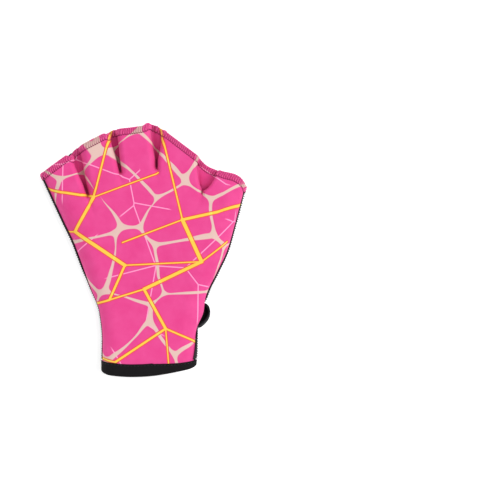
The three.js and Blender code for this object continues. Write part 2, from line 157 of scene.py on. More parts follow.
# The section along the hand. A seam lies above the widest point by a share of the wall's rise there
SECTIONS = table("along crown side lift little_seam thumb_seam", [
    (0, 1.04, 1, 1, -0.35, 0.56),
    (0.05, 1, 0.95, 1, -0.38, 0.3),
    (0.16, 0.94, 0.86, 1, -0.45, -0.1),
    (0.25, 0.92, 0.8, 1, -0.45, -0.6),
    (0.33, 0.93, 0.72, 1, -0.43, -0.6),
    (0.4, 0.95, 0.66, 1, -0.4, -0.25),
    (0.45, 0.98, 0.6, 1, -0.35, -0.25),
    (0.57, 1, 0.53, 0, -0.15, -0.28),
    (0.68, 0.97, 0.5, 0, 0.03, -0.32),
    (0.84, 0.9, 0.46, 0, 0.03, -0.34),
    (1, 0.8, 0.46, 0, 0.03, -0.36),
])

# The sewn wedge of each web. floor, reach and lean are shares of the web sizes. On either side of it, the
# wall's run and tuck are in millimetres, and its power is how round it rises
WEB_COLUMNS = (
    "floor taper reach lean gather "
    "left_run left_power left_tuck right_run right_power right_tuck"
)
WEBS = table(WEB_COLUMNS, [
    (0.5, 0.8, 0.95, 0, 0, 4, 0.4, 1.8, 7, 0.6, 0.6),
    (0.42, 0.9, 0.86, 0, 0, 4, 0.42, 1.2, 5, 0.5, 1.2),
    (0.66, 0.9, 0.86, 0, 0, 5, 0.5, 1.2, 4, 0.4, 1.2),
    (1.26, 0.56, 0.6, 0.8, 3.2, 3, 0.35, 0.8, 2.5, 0.3, 1.2),
])

# How far each stretch of the hem bows out, and where its bow starts and is highest
HEM_ARCS = table("bow start top", [
    (-0.05, 0, 0.5),
    (0.1, 0, 0.5),
    (0.15, 0.4, 0.84),
    (0, 0, 0.5),
    (1.1, 0.3, 0.76),
])

# Where the hems are drawn in near the webs, or let out: the places round the tube, their widths, and how
# far the back and the palm are drawn in there
HEM_DIPS = table("turn width back palm", [
    (0.9, 0.055, 3.2, 0),
    (1.9, 0.05, 1.8, 0),
    (2.91, 0.075, -1.9, 0),
    (3, 0.05, 1.2, 1.2),
    (4, 0.055, 2.4, 2.6),
])

# How far the thread presses the palm's hem in, and how far each hem ends short of the outline
HEM_PRESSED = 0.75
HEM_SHORT_BACK = 0.6
HEM_SHORT_PALM = 1.3

# The cuff's edge across the wrist, as a share of its sag, and how far its curve reaches up the hand
CUFF_EDGE = table("along sag", [
    (0, 0.4),
    (0.088, 0.24),
    (0.22, 0.13),
    (0.31, 0.1),
    (0.436, 0.13),
    (0.58, 0.25),
    (0.67, 0.38),
    (0.757, 0.53),
    (0.846, 0.7),
    (0.935, 0.87),
    (1, 1),
])
CUFF_FADE = 45

# How far the cuff's edge rises where it goes round the sides
CORNER_RISE = 2.6
CORNER_FADE = 6

# The strap's pull on the thumb side's cloth: how far it draws it out, how far up the hand it does and over
# which half length, and how much of the last stretch it draws fully
PULL = 3.7
PULL_PLACE = 54
PULL_HALF = 10
PULL_FULL = 0.4

# Soft creases in the back: where each lies, its half length and half width, its depth and its turn
CREASES = table("x y length width depth turn", [
    (40, 146, 9, 2.2, 0.9, 112),
    (66, 168, 8, 2.4, 0.8, 100),
    (97, 170, 8, 2.4, 0.7, 84),
    (134, 150, 9, 3, 0.8, 66),
    (22, 158, 16, 3, 0.5, 60),
    (150, 140, 14, 4, 0.5, 96),
])

# The faint ripple all over the back: its depth, its lengths for each radian and where it starts
RIPPLE = 0.22
RIPPLE_ACROSS = 9.5
RIPPLE_ONWARD = 14
RIPPLE_LEAN = 31
RIPPLE_START = 0.6

# How much of a stretch between two ribs the roll round a side takes, and half a web's floor
ROLL_SHARE = 0.5
FLOOR_SHARE = 0.06
WIDEST_ROLL = 0.72
WIDEST_WALL = 0.42
NARROWEST_FLOOR = 1.5

# How wide a tuck's slope is, as a share of the wall's run, and how far from the hem tucks and gathers fade
TUCK_RUN = 0.35
TUCK_FADE = (3, 14)
GATHER_FADE = 13


# The cloth's shape

def blend(low, high, share):
    return low + (high - low) * share


def eased(t):
    """A share from 0 to 1 that starts and ends gently."""
    return t * t * (3 - 2 * t)


def smooth_step(value, low, high):
    """0 up to low and 1 from high on, gentle between. Where high is the smaller one it runs the other way."""
    return eased(np.clip((value - low) / (high - low), 0, 1))


def read(rows, column, along):
    """One column of a table as a smooth curve that doesn't overshoot its rows."""
    places, values = rows["along"], rows[column]
    slopes = np.diff(values) / np.diff(places)
    turns = slopes[:-1] * slopes[1:] > 0
    sums = np.where(turns, slopes[:-1] + slopes[1:], 1)
    inner = np.where(turns, 2 * slopes[:-1] * slopes[1:] / sums, 0)
    tangents = np.concatenate([slopes[:1], inner, slopes[-1:]])
    along = np.clip(along, places[0], places[-1])
    i = np.clip(np.searchsorted(places, along, side="right") - 1, 0, len(places) - 2)
    width = places[i + 1] - places[i]
    t = (along - places[i]) / width
    held = blend(values[i], values[i + 1], eased(t))
    return held + width * t * (1 - t) * ((1 - t) * tangents[i] - t * tangents[i + 1])


def rib_point(k, along):
    """A rib's place in plan."""
    hem = RIBS["hem"][k]
    spread = blend(read(SPREAD, "little", along), read(SPREAD, "thumb", along), hem)
    x = blend(WRIST_INSET + WRIST_WIDTH * RIBS["wrist"][k], SPAN * hem, spread)
    y = blend(CUFF_SAG * RIBS["sag"][k], GLOVE_LENGTH * RIBS["top"][k], along)
    return x, y


def rib_length(k):
    (x0, y0), (x1, y1) = rib_point(k, 0.0), rib_point(k, 1.0)
    return math.hypot(x1 - x0, y1 - y0)


RIB_LENGTHS = np.array([rib_length(k) for k in range(LAST + 1)])


def folded(turn):
    """Where a place round the tube lies across the hand, and whether it is on the back."""
    once = np.mod(turn, 2 * LAST)
    above = once <= LAST
    return np.where(above, once, 2 * LAST - once), above


def length_at(turn):
    """The length of the cloth from cuff to hem at a place round the tube."""
    return np.interp(folded(turn)[0], np.arange(LAST + 1), RIB_LENGTHS)


def web_at(k, along):
    """The web on rib k: half its floor, how deep and how open it is, and how far its floor leans."""
    row = np.clip(k - 1, 0, LAST - 2)
    is_web = (k > 0) & (k < LAST)
    reach = WEBS["reach"][row] * WEB_REACH
    past_point = reach - (1 - along) * RIB_LENGTHS[np.clip(k, 0, LAST)]
    opened = np.clip(past_point / reach, 0, 1)
    widest = WEBS["floor"][row] * WEB_FLOOR / 2
    half = np.maximum(NARROWEST_FLOOR, opened ** WEBS["taper"][row] * widest)
    depth = np.where(is_web, smooth_step(past_point, -DIMPLE_FADE, 0), 0)
    return half, depth, opened * is_web, WEBS["lean"][row] * WEB_LEAN * opened * is_web


def border_of(rib, side, wall, spacing, roll, along):
    """How the cloth meets a rib: with a web's floor and wall, or rolled round a side of the hand."""
    half, depth, opened, lean = web_at(rib, along)
    row = np.clip(rib - 1, 0, LAST - 2)
    from_hem = (1 - along) * RIB_LENGTHS[rib]
    if wall == "left":
        half = half - WEBS["gather"][row] * smooth_step(from_hem, GATHER_FADE, 0)
    return {
        "side": side,
        "run": np.minimum(WEBS[wall + "_run"][row], WIDEST_WALL * spacing),
        "power": WEBS[wall + "_power"][row],
        "share": np.where(side, ROLL_SHARE, FLOOR_SHARE),
        "width": np.where(side, roll, half),
        "half": half,
        "depth": depth,
        "tuck": WEBS[wall + "_tuck"][row] * np.sqrt(opened) * smooth_step(from_hem, *TUCK_FADE),
        "lean": lean,
    }


def over_border(border, part):
    """How far a part of the way over a border leads across, and how far up round a side."""
    angle = np.clip(part, 0, 1) * math.pi / 2
    gone = border["width"] * np.where(border["side"], 1 - np.cos(angle), part)
    return gone, np.where(border["side"], np.sin(angle), 1)


def gone_across(share, spacing, left, right):
    """How far from its left rib a place lies, and how far it has risen round a side."""
    gone_left, rise_left = over_border(left, share / left["share"])
    gone_right, rise_right = over_border(right, (1 - share) / right["share"])
    between = (share - left["share"]) / (1 - left["share"] - right["share"])
    gone = blend(left["width"], spacing - right["width"], between)
    gone = np.where(share < left["share"], gone_left, gone)
    gone = np.where(1 - share < right["share"], spacing - gone_right, gone)
    return gone, np.minimum(rise_left, rise_right)


def tucked_over(gone, spacing, left, right):
    """How far a place is moved across where the walls are tucked in over the webs' floors."""
    moved = 0.0
    for border, past, sign in ((left, gone, 1), (right, spacing - gone, -1)):
        beyond = (past - border["half"]) / (TUCK_RUN * border["run"])
        near = np.where(beyond < 0, np.clip(past / border["half"], 0, 1), np.clip(1 - beyond, 0, 1))
        moved = moved + sign * border["tuck"] * eased(near)
    return moved


def hem_bow(k, share, along):
    """How far the cloth bows out between two ribs, most at the hem."""
    start, top = HEM_ARCS["start"][k], HEM_ARCS["top"][k]
    rising = np.clip((share - start) / (top - start), 0, 1)
    falling = np.clip((share - top) / (1 - top), 0, 1)
    return HEM_BOW * HEM_ARCS["bow"][k] * (eased(rising) - falling**3) * along**4


def cuff_curve(k, share, along, rise):
    """How far the cuff's curve and its corners lift a place above the line between two ribs' feet."""
    from_cuff = along * RIB_LENGTHS[0]
    wrist = blend(RIBS["wrist"][k], RIBS["wrist"][k + 1], share)
    straight = blend(RIBS["sag"][k], RIBS["sag"][k + 1], share)
    curved = CUFF_SAG * (read(CUFF_EDGE, "sag", wrist) - straight)
    corner = CORNER_RISE * (1 - rise) ** 2
    return curved * np.exp(-from_cuff / CUFF_FADE) + corner * np.exp(-from_cuff / CORNER_FADE)


def over_webs(gone, spacing, left, right):
    """How open the cloth is, from 0 on a web's floor to 1 in a channel, and how far the floor leans."""
    opened, lean = 1.0, 0.0
    for border, past in ((left, gone), (right, gone - spacing)):
        up = np.clip((np.abs(past) - border["half"]) / border["run"], 0, 1)
        arch = (1 - (1 - up) ** 2) ** border["power"]
        opened = opened * (1 - border["depth"] * (1 - arch))
        lean = lean + border["lean"] * np.clip((border["half"] - past) / (2 * border["half"]), 0, 1)
    return opened, lean


def place_of(turn, along):
    """A place of the cloth's middle surface: where it lies in plan, how far it has risen round a side, how
    open it is, how far its web's floor leans, how near the hand's middle it is and whether it is above.
    """
    across, above = folded(turn)
    k = np.minimum(np.floor(across).astype(int), LAST - 1)
    x0, y0 = rib_point(k, along)
    x1, y1 = rib_point(k + 1, along)
    spacing = np.hypot(x1 - x0, y1 - y0)
    roll = np.minimum(np.where(above, ROLL_ABOVE, ROLL_BELOW), WIDEST_ROLL * spacing)
    left = border_of(k, k == 0, "right", spacing, roll, along)
    right = border_of(k + 1, k == LAST - 1, "left", spacing, roll, along)
    gone, rise = gone_across(across - k, spacing, left, right)
    share = gone / spacing

    tucked = (gone + above * tucked_over(gone, spacing, left, right)) / spacing
    bowed = hem_bow(k, share, along)
    x = blend(x0, x1, tucked) - (y1 - y0) / spacing * bowed
    y = blend(y0, y1, tucked) + (x1 - x0) / spacing * bowed + cuff_curve(k, share, along, rise)
    near_strap = np.exp(-(((y - PULL_PLACE) / PULL_HALF) ** 2))
    x = x + PULL * smooth_step(across, LAST - 1, LAST - PULL_FULL) * near_strap
    opened, lean = over_webs(gone, spacing, left, right)
    middle = 1 - (2 * (k + share) / LAST - 1) ** 2
    return {"x": x, "y": y, "rise": rise, "opened": opened, "lean": lean, "middle": middle, "above": above}


def creased(x, y):
    """How far the back sinks in its soft creases."""
    sunk = 0.0
    for cx, cy, length, width, depth, turn in zip(*CREASES.values()):
        cos, sin = math.cos(math.radians(turn)), math.sin(math.radians(turn))
        onward, aside = (x - cx) * cos + (y - cy) * sin, (y - cy) * cos - (x - cx) * sin
        sunk = sunk + depth * np.exp(-((onward / length) ** 2) - (aside / width) ** 2)
    onward = np.sin(y / RIPPLE_ONWARD + x / RIPPLE_LEAN)
    return sunk + RIPPLE * np.sin(x / RIPPLE_ACROSS + RIPPLE_START) * onward


def wall_point(turn, along):
    """A point of the cloth's middle surface, in the last axis."""
    turn, along = np.broadcast_arrays(np.asarray(turn, float), np.asarray(along, float))
    p = place_of(turn, along)
    side = SIDE_HEIGHT * read(SECTIONS, "side", along)
    crown = CROWN_HEIGHT * read(SECTIONS, "crown", along) - CROWN_DROP * (1 - p["middle"])
    crown = crown - creased(p["x"], p["y"]) * p["rise"]
    low = HALF_WALL + WRIST_LIFT * read(SECTIONS, "lift", along)
    layer = HALF_WALL + CLEARANCE / 2
    floor = np.where(p["above"], WEB_HEIGHT + layer + p["lean"], WEB_HEIGHT - layer)
    full = blend(side, np.where(p["above"], crown, low), p["rise"])
    return np.stack([p["x"], p["y"], blend(floor, full, p["opened"])], -1)


def unit(vectors):
    return vectors / np.linalg.norm(vectors, axis=-1, keepdims=True)


def wall_axes(turn, along, step=0.002):
    """The cloth's directions: round the tube, towards the hem, and out of the hollow."""
    turn, along = np.broadcast_arrays(np.asarray(turn, float), np.asarray(along, float))
    around = wall_point(turn + step, along) - wall_point(turn - step, along)
    onward = wall_point(turn, np.minimum(1, along + step)) - wall_point(turn, np.maximum(0, along - step))
    speed = np.linalg.norm(around, axis=-1) / (2 * step)
    return speed, unit(around), unit(onward), unit(np.cross(around, onward))


def wall_offset(turn, from_cuff, outwards):
    """A point beside the cloth. Beyond the cuff's edge it carries on straight."""
    along = np.maximum(0, from_cuff / length_at(turn))
    _, _, onward, out = wall_axes(turn, along)
    beyond = np.asarray(np.minimum(0, from_cuff))[..., None]
    return wall_point(turn, along) + out * np.asarray(outwards)[..., None] + onward * beyond


def seam_place(side, along, towards_back=0.0):
    """The place round the tube of a side's seam."""
    share = read(SECTIONS, side + "_seam", along)
    turned = ROLL_SHARE * np.arcsin(np.abs(share)) * np.sign(share) / (math.pi / 2)
    seam = turned if side == "little" else LAST - turned
    step = towards_back / wall_axes(seam, along)[0]
    return seam + step if side == "little" else seam - step


def origin_in_pattern():
    """Where the row's origin lies in the pattern's frame, from the back panel's box."""
    low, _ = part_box("back_panel")
    corner_turn = seam_place("little", 1.0, CLEARANCE / 2)
    corner = wall_point(corner_turn, 1.0) + HALF_WALL * wall_axes(corner_turn, 1.0)[3]
    return np.array([corner[0] - low[0] / MM, CUFF_SAG * RIBS["sag"].min() - low[1] / MM, 0])


ORIGIN = origin_in_pattern()


# Mesh making

def link(name, data):
    """A new object in the scene."""
    made = bpy.data.objects.new(name, data)
    bpy.context.scene.collection.objects.link(made)
    return made


def new_mesh(name, points, edges, faces):
    """A mesh from points in the pattern's frame."""
    mesh = bpy.data.meshes.new(name)
    mesh.from_pydata(((np.asarray(points).reshape(-1, 3) - ORIGIN) * MM).tolist(), edges, faces)
    mesh.update()
    return mesh


def remove(*things):
    for thing in things:
        bpy.data.objects.remove(thing)


def smooth(piece):
    piece.data.polygons.foreach_set("use_smooth", [True] * len(piece.data.polygons))


def grid_faces(rows, columns, start=0, wrap=False):
    i, j = np.meshgrid(np.arange(rows - 1), np.arange(columns if wrap else columns - 1), indexing="ij")
    after = (j + 1) % columns
    corners = [i * columns + j, i * columns + after, (i + 1) * columns + after, (i + 1) * columns + j]
    return (np.stack(corners, -1).reshape(-1, 4) + start).tolist()


def sheet_object(name, outer, inner, maps=None):
    """A closed sheet between two grids of points. maps holds each point's place on the flat cloth."""
    rows, columns = outer.shape[:2]
    count = rows * columns
    out_faces = grid_faces(rows, columns)
    faces = out_faces + [face[::-1] for face in grid_faces(rows, columns, count)]
    border = list(range(columns))
    border += [i * columns + columns - 1 for i in range(1, rows)]
    border += [(rows - 1) * columns + j for j in range(columns - 2, -1, -1)]
    border += [i * columns for i in range(rows - 2, 0, -1)]
    for a, b in zip(border, border[1:] + border[:1]):
        faces.append([b, a, a + count, b + count])
    points = np.concatenate([outer.reshape(-1, 3), inner.reshape(-1, 3)])
    made = link(name, new_mesh(name, points, [], faces))
    smooth(made)
    loops = np.empty(len(made.data.loops), int)
    made.data.loops.foreach_get("vertex_index", loops)
    for label, places in (maps or {}).items():
        layer = made.data.uv_layers.new(name=label)
        places = np.concatenate([places.reshape(-1, 2)] * 2)[loops] * MM
        layer.data.foreach_set("uv", places.ravel())
    return made, len(out_faces)


def face_outwards(piece):
    """Turns the faces of a closed piece out, whichever way they were made."""
    made = bmesh.new()
    made.from_mesh(piece.data)
    bmesh.ops.recalc_face_normals(made, faces=made.faces)
    made.to_mesh(piece.data)
    made.free()


def bar_object(name, rings, material=None):
    """A bar through rings of points, with flat ends."""
    stations, size = rings.shape[:2]
    faces = [face[::-1] for face in grid_faces(stations, size, wrap=True)]
    faces.append(list(range(size)))
    faces.append([(stations - 1) * size + j for j in range(size - 1, -1, -1)])
    made = link(name, new_mesh(name, rings, [], faces))
    smooth(made)
    face_outwards(made)
    if material:
        made.data.materials.append(material)
    return made


# A thread's sides, and how thin its ends are, as a share of its radius
THREAD_SIDES = 6
THREAD_END = 0.35


def thread_object(name, path, radius):
    """A short thread through points, in millimetres about its own origin."""
    path = np.asarray(path, float)
    onward = unit(np.gradient(path, axis=0))
    along_y = np.abs(onward[:, 1:2]) > 0.9
    aside = unit(np.cross(onward, np.where(along_y, [[1, 0, 0]], [[0, 1, 0]])))
    up = np.cross(aside, onward)
    turns = np.arange(THREAD_SIDES) * 2 * math.pi / THREAD_SIDES
    ends = np.ones(len(path))
    ends[[0, -1]] = THREAD_END
    circle = aside[:, None] * np.cos(turns)[None, :, None] + up[:, None] * np.sin(turns)[None, :, None]
    rings = path[:, None] + circle * (radius * ends)[:, None, None]
    return bar_object(name, rings + ORIGIN)


# Node trees

class Board:
    """A node tree that is being laid out."""

    def __init__(self, tree):
        self.tree = tree

    def feed(self, socket, value):
        """Links an output to a socket, or sets a constant on it."""
        if isinstance(value, bpy.types.NodeSocket):
            self.tree.links.new(value, socket)
        else:
            socket.default_value = value

    def node(self, kind, wires=(), **settings):
        made = self.tree.nodes.new(kind)
        for name, value in settings.items():
            setattr(made, name, value)
        for key, value in dict(wires).items():
            self.feed(made.inputs[key], value)
        return made

    def math(self, operation, *values):
        return self.node("ShaderNodeMath", enumerate(values), operation=operation).outputs[0]

    def vector(self, operation, *values):
        made = self.node("ShaderNodeVectorMath", enumerate(values), operation=operation)
        plain = operation in ("DOT_PRODUCT", "LENGTH", "DISTANCE")
        return made.outputs["Value" if plain else "Vector"]

    def scaled(self, vector, scale):
        wires = {"Vector": vector, "Scale": scale}
        return self.node("ShaderNodeVectorMath", wires, operation="SCALE").outputs[0]

    def spread(self, value, low, high, most=1.0):
        """A value between low and high, spread from 0 to the most."""
        wires = {"Value": value, "From Min": low, "From Max": high, "To Max": most}
        return self.node("ShaderNodeMapRange", wires).outputs[0]

    def mix(self, share, low, high):
        made = self.node("ShaderNodeMix", data_type="RGBA")
        for key, value in (("Factor_Float", share), ("A_Color", low), ("B_Color", high)):
            self.feed(next(s for s in made.inputs if s.identifier == key), value)
        return next(s for s in made.outputs if s.identifier == "Result_Color")

    def fade(self, value, low, high):
        """1 below low, 0 above high, soft between."""
        wires = {"Value": value, "From Min": low, "From Max": high, "To Min": 1.0, "To Max": 0.0}
        return self.node("ShaderNodeMapRange", wires, interpolation_type="SMOOTHSTEP").outputs[0]

    def spot(self, coords="object"):
        """The place on the surface in millimetres, on the object or on one of its cloth maps."""
        if coords == "object":
            place = self.node("ShaderNodeTexCoord").outputs["Object"]
        else:
            place = self.node("ShaderNodeUVMap", uv_map=coords).outputs[0]
        return self.scaled(place, 1 / MM)

    def noise(self, spot, size, detail=2.0):
        """Noise whose lumps have a size, in the spot's own unit."""
        wires = {"Vector": spot, "Scale": 1 / size, "Detail": detail}
        return self.node("ShaderNodeTexNoise", wires).outputs[0]

    def cells(self, feature, wires):
        """The distance that a flat cell pattern gives."""
        made = self.node("ShaderNodeTexVoronoi", wires, voronoi_dimensions="2D", feature=feature)
        return made.outputs["Distance"]


def colour(red, green, blue):
    """A colour from its screen values, 0 to 255."""
    linear = [c / 255 / 12.92 if c <= 10 else ((c / 255 + 0.055) / 1.055) ** 2.4 for c in (red, green, blue)]
    return (*linear, 1.0)


def new_group(name, inputs, outputs):
    """A shader node group with named inputs and outputs."""
    tree = bpy.data.node_groups.new(name, "ShaderNodeTree")
    for label, kind, value in inputs:
        socket = tree.interface.new_socket(label, in_out="INPUT", socket_type="NodeSocket" + kind)
        if value is not None:
            socket.default_value = value
    for label, kind in outputs:
        tree.interface.new_socket(label, in_out="OUTPUT", socket_type="NodeSocket" + kind)
    board = Board(tree)
    return board, board.node("NodeGroupInput").outputs, board.node("NodeGroupOutput").inputs


# Patterns and materials

# The knit: its wales' pitch, how many courses lie on each, how far it sinks between them, and its fuzz
KNIT_PITCH = 0.55
KNIT_COURSES = 1.3
KNIT_SINK = 0.6
KNIT_FUZZ = 0.35
KNIT_FUZZ_SIZE = 0.4


def knit_group():
    """Fine knit: its height, and a tone that goes from 0 between the loops to 1 on them."""
    board, given, out = new_group(
        "fine knit",
        [("Spot", "Vector", None), ("Pitch", "Float", KNIT_PITCH)],
        [("Height", "Float"), ("Tone", "Float")],
    )
    spot = board.node("ShaderNodeSeparateXYZ", {0: given["Spot"]})
    turn = board.math("DIVIDE", math.pi, given["Pitch"])
    wale = board.math("ABSOLUTE", board.math("SINE", board.math("MULTIPLY", spot.outputs[0], turn)))
    course = board.math("MULTIPLY", spot.outputs[1], board.math("MULTIPLY", turn, KNIT_COURSES))
    course = board.math("ABSOLUTE", board.math("SINE", board.math("ADD", course, wale)))
    loops = board.math("MULTIPLY", wale, board.math("MULTIPLY_ADD", course, KNIT_SINK, 1 - KNIT_SINK))
    fuzz = board.noise(given["Spot"], KNIT_FUZZ_SIZE, 1.0)
    height = board.math("MULTIPLY_ADD", fuzz, KNIT_FUZZ, loops)
    board.feed(out["Height"], height)
    board.feed(out["Tone"], loops)
    return board.tree


def stroke_group():
    """How far a spot lies outside a straight stroke from one point to another."""
    places = [(label, "Vector", None) for label in ("Spot", "From", "To")]
    board, given, out = new_group("stroke", [*places, ("Half Width", "Float", 1.0)], [("Outside", "Float")])
    way = board.vector("SUBTRACT", given["To"], given["From"])
    gone = board.vector("SUBTRACT", given["Spot"], given["From"])
    onward, whole = board.vector("DOT_PRODUCT", gone, way), board.vector("DOT_PRODUCT", way, way)
    share = board.node("ShaderNodeClamp", {"Value": board.math("DIVIDE", onward, whole)}).outputs[0]
    distance = board.vector("DISTANCE", gone, board.scaled(way, share))
    board.feed(out["Outside"], board.math("SUBTRACT", distance, given["Half Width"]))
    return board.tree


# The crackle net: how far it bends, over which sizes it bends and swells, and how soft its edges are
NET_BEND = 9.0
NET_BEND_SIZE = 30.0
NET_SWELL_SIZE = 34.0
NET_SWELL = 1.5
NET_THINNEST = 0.2
NET_EDGE = 0.004
NET_FORKS = 0.42
NET_RANDOM = 0.85


def net_group():
    """A crackle net with rounded forks: 1 on its lines, whose width swells and thins."""
    sizes = [("Cell", "Float", 40.0), ("Width", "Float", 0.1)]
    places = [(label, "Vector", None) for label in ("Spot", "Shift")]
    board, given, out = new_group("crackle net", places + sizes, [("Line", "Float")])
    bend = board.math("MULTIPLY", board.noise(given["Spot"], NET_BEND_SIZE, 1.0), NET_BEND)
    bent = board.vector("ADD", given["Spot"], given["Shift"])
    bent = board.vector("ADD", bent, board.node("ShaderNodeCombineXYZ", {0: bend}).outputs[0])
    scale = board.math("DIVIDE", 1.0, given["Cell"])

    wires = {"Vector": bent, "Scale": scale, "Randomness": NET_RANDOM}
    fused = board.math(
        "SUBTRACT",
        board.cells("F1", wires),
        board.cells("SMOOTH_F1", {**wires, "Smoothness": NET_FORKS}),
    )
    lumps = board.noise(given["Spot"], NET_SWELL_SIZE, 0.0)
    swell = board.math("MULTIPLY_ADD", lumps, NET_SWELL, NET_THINNEST)
    edge = board.math("SUBTRACT", fused, board.math("DIVIDE", given["Width"], swell))
    board.feed(out["Line"], board.math("SUBTRACT", 1.0, board.fade(edge, -NET_EDGE, NET_EDGE)))
    return board.tree


GROUPS = {}


def place_group(board, maker, wires):
    """A node of a shared group, which is made when it is first needed."""
    if maker not in GROUPS:
        GROUPS[maker] = maker()
    return board.node("ShaderNodeGroup", wires, node_tree=GROUPS[maker]).outputs


def new_material(name, roughness, sheen, coords="object", shine=0.25):
    """A material's board, its shader and the spot on the surface in millimetres."""
    material = bpy.data.materials.new(name)
    material.use_nodes = True
    board = Board(material.node_tree)
    shader = material.node_tree.nodes["Principled BSDF"]
    shader.inputs["Roughness"].default_value = roughness
    shader.inputs["Sheen Weight"].default_value = sheen
    shader.inputs["Sheen Roughness"].default_value = 0.4
    shader.inputs["Specular IOR Level"].default_value = shine
    return material, board, shader, board.spot(coords)


BUMP_STRENGTH = 0.6


def cover(board, shader, tint, height, depth):
    """Gives a shader its colour, and a bump of a depth in millimetres."""
    wires = {"Height": height, "Distance": depth * MM, "Strength": BUMP_STRENGTH}
    board.feed(shader.inputs["Base Color"], tint)
    board.feed(shader.inputs["Normal"], board.node("ShaderNodeBump", wires).outputs[0])


# Straight strokes of the print: their ends, in millimetres from the middle of the cuff, and half their width
STROKES = table("x y to_x to_y half_width", [
    (88, 143, 34, 131, 1.1),
    (34, 131, 50, 96, 1.5),
    (50, 96, 2, 73, 1.3),
    (2, 73, 20, 40, 1.1),
    (20, 40, -22, 12, 0.9),
    (34, 131, 14, 214, 0.6),
    (34, 131, -16, 112, 0.5),
    (50, 96, 72, 112, 0.55),
    (-92, 158, -40, 150, 0.9),
    (-40, 150, -56, 121, 1.2),
    (-56, 121, -14, 93, 1.4),
    (-14, 93, -27, 64, 0.9),
    (-27, 64, -52, 57, 0.8),
    (-27, 64, 2, 73, 0.6),
    (-40, 150, -24, 214, 0.7),
    (-56, 121, -80, 118, 0.6),
    (-14, 93, 50, 96, 0.5),
    (20, 40, 52, 26, 0.7),
    (20, 40, 24, -6, 0.5),
    (-40, 150, 14, 170, 0.45),
    (-52, 20, -22, 12, 0.6),
])

# How wide the strokes' orange edging is, and how soft their edges are
STROKE_EDGE = 0.75
STROKE_SOFT = 0.15

# The print's pink clouds, its thin pale lines, which show only in patches, and its crackle net
MOTTLE_SIZE = 13.0
HAIR_CELL = 50.0
HAIR_SHIFT = (310.0, 120.0, 0.0)
HAIR_EDGES = (0.006, 0.012)
HAIR_PATCH = 60.0
NET = {"Cell": 44.0, "Width": 0.032, "Shift": (25.0, 8.0, 0.0)}

PINK = colour(219, 57, 132)
LIGHT_PINK = colour(226, 76, 146)
# The painted shade's colour, which the knit's hollows and the hem band are darkened towards
SHADED_PINK = colour(120, 12, 60)
CREAM = colour(218, 186, 176)
PALE_PINK = colour(252, 152, 198)
YELLOW = colour(246, 200, 70)
YELLOW_ON_CREAM = colour(228, 216, 84)
ORANGE = colour(222, 70, 58)
BLACK = colour(20, 18, 21)

# The fuzz of every thread: its size and detail, and its depth
THREAD_FUZZ = (0.12, 2.0)
THREAD_FUZZ_DEPTH = 0.06


def print_group():
    """The print's colour at a spot in millimetres from the middle of the cuff."""
    inputs, outputs = [("Spot", "Vector", None)], [("Colour", "Color")]
    board, given, out = new_group("crackle and stroke print", inputs, outputs)
    spot = given["Spot"]
    ground = board.mix(board.spread(board.noise(spot, MOTTLE_SIZE, 3.0), 0.2, 0.8), PINK, LIGHT_PINK)

    shifted = board.vector("ADD", spot, HAIR_SHIFT)
    wires = {"Vector": shifted, "Scale": 1 / HAIR_CELL, "Randomness": 1.0}
    hair = board.fade(board.cells("DISTANCE_TO_EDGE", wires), *HAIR_EDGES)
    shown = board.fade(board.noise(shifted, HAIR_PATCH, 0.0), 0.5, 0.53)
    printed = board.mix(board.math("MULTIPLY", hair, shown), ground, PALE_PINK)

    net = place_group(board, net_group, {"Spot": spot, **NET})["Line"]
    printed = board.mix(net, printed, CREAM)

    outside = None
    for x, y, to_x, to_y, half_width in zip(*STROKES.values()):
        wires = {"Spot": spot, "From": (x, y, 0), "To": (to_x, to_y, 0), "Half Width": half_width}
        stroke = place_group(board, stroke_group, wires)["Outside"]
        outside = stroke if outside is None else board.math("MINIMUM", outside, stroke)
    edging = board.fade(outside, STROKE_EDGE - STROKE_SOFT, STROKE_EDGE + STROKE_SOFT)
    printed = board.mix(edging, printed, ORANGE)
    yellow = board.mix(net, YELLOW, YELLOW_ON_CREAM)
    printed = board.mix(board.fade(outside, -STROKE_SOFT, STROKE_SOFT), printed, yellow)
    board.feed(out["Colour"], printed)
    return board.tree


# How much shade is painted on the print between the knit's loops and over the hem band inside its needle
# line, where it stands for the shade under the thread wraps, and over how far that painted shade fades out
# past the needle line
KNIT_SHADE = 0.14
HEM_BAND_SHADE = 0.5
HEM_BAND_SHADE_FADE = 0.6


def printed_neoprene():
    """The back's cloth: the print, with painted shade between the knit's loops and over the hem band out to
    its needle line.
    """
    material, board, shader, spot = new_material("printed neoprene", 0.72, 0.1, "print")
    printed = place_group(board, print_group, {"Spot": spot})["Colour"]
    knit = place_group(board, knit_group, {"Spot": board.spot("cloth")})
    # Painted shade in the knit's hollows between its loops
    painted_shade = board.math("MULTIPLY", board.math("SUBTRACT", 1.0, knit["Tone"]), KNIT_SHADE)
    # Painted shade over the hem band from its edge to the needle line, for the shade under the thread wraps
    short = board.node("ShaderNodeSeparateXYZ", {0: board.spot("hem")}).outputs[1]
    band_shade = board.fade(short, HEM_DEPTH, HEM_DEPTH + HEM_BAND_SHADE_FADE)
    band_shade = board.math("MULTIPLY", band_shade, HEM_BAND_SHADE)
    painted_shade = board.math("MAXIMUM", painted_shade, band_shade)
    cover(board, shader, board.mix(painted_shade, printed, SHADED_PINK), knit["Height"], 0.12)
    return material


def hem_thread():
    """The hem's thread, which took the print with the cloth."""
    material, board, shader, spot = new_material("printed hem thread", 0.6, 0.1)
    plan = board.vector("MULTIPLY_ADD", spot, (1.0, 1.0, 0.0), (ORIGIN[0] - SPAN / 2, ORIGIN[1], 0.0))
    printed = place_group(board, print_group, {"Spot": plan})["Colour"]
    share = board.spread(board.noise(spot, 1.1, 1.0), 0.36, 0.64, 0.22)
    tint = board.mix(share, printed, PALE_PINK)
    cover(board, shader, tint, board.noise(spot, *THREAD_FUZZ), THREAD_FUZZ_DEPTH)
    return material


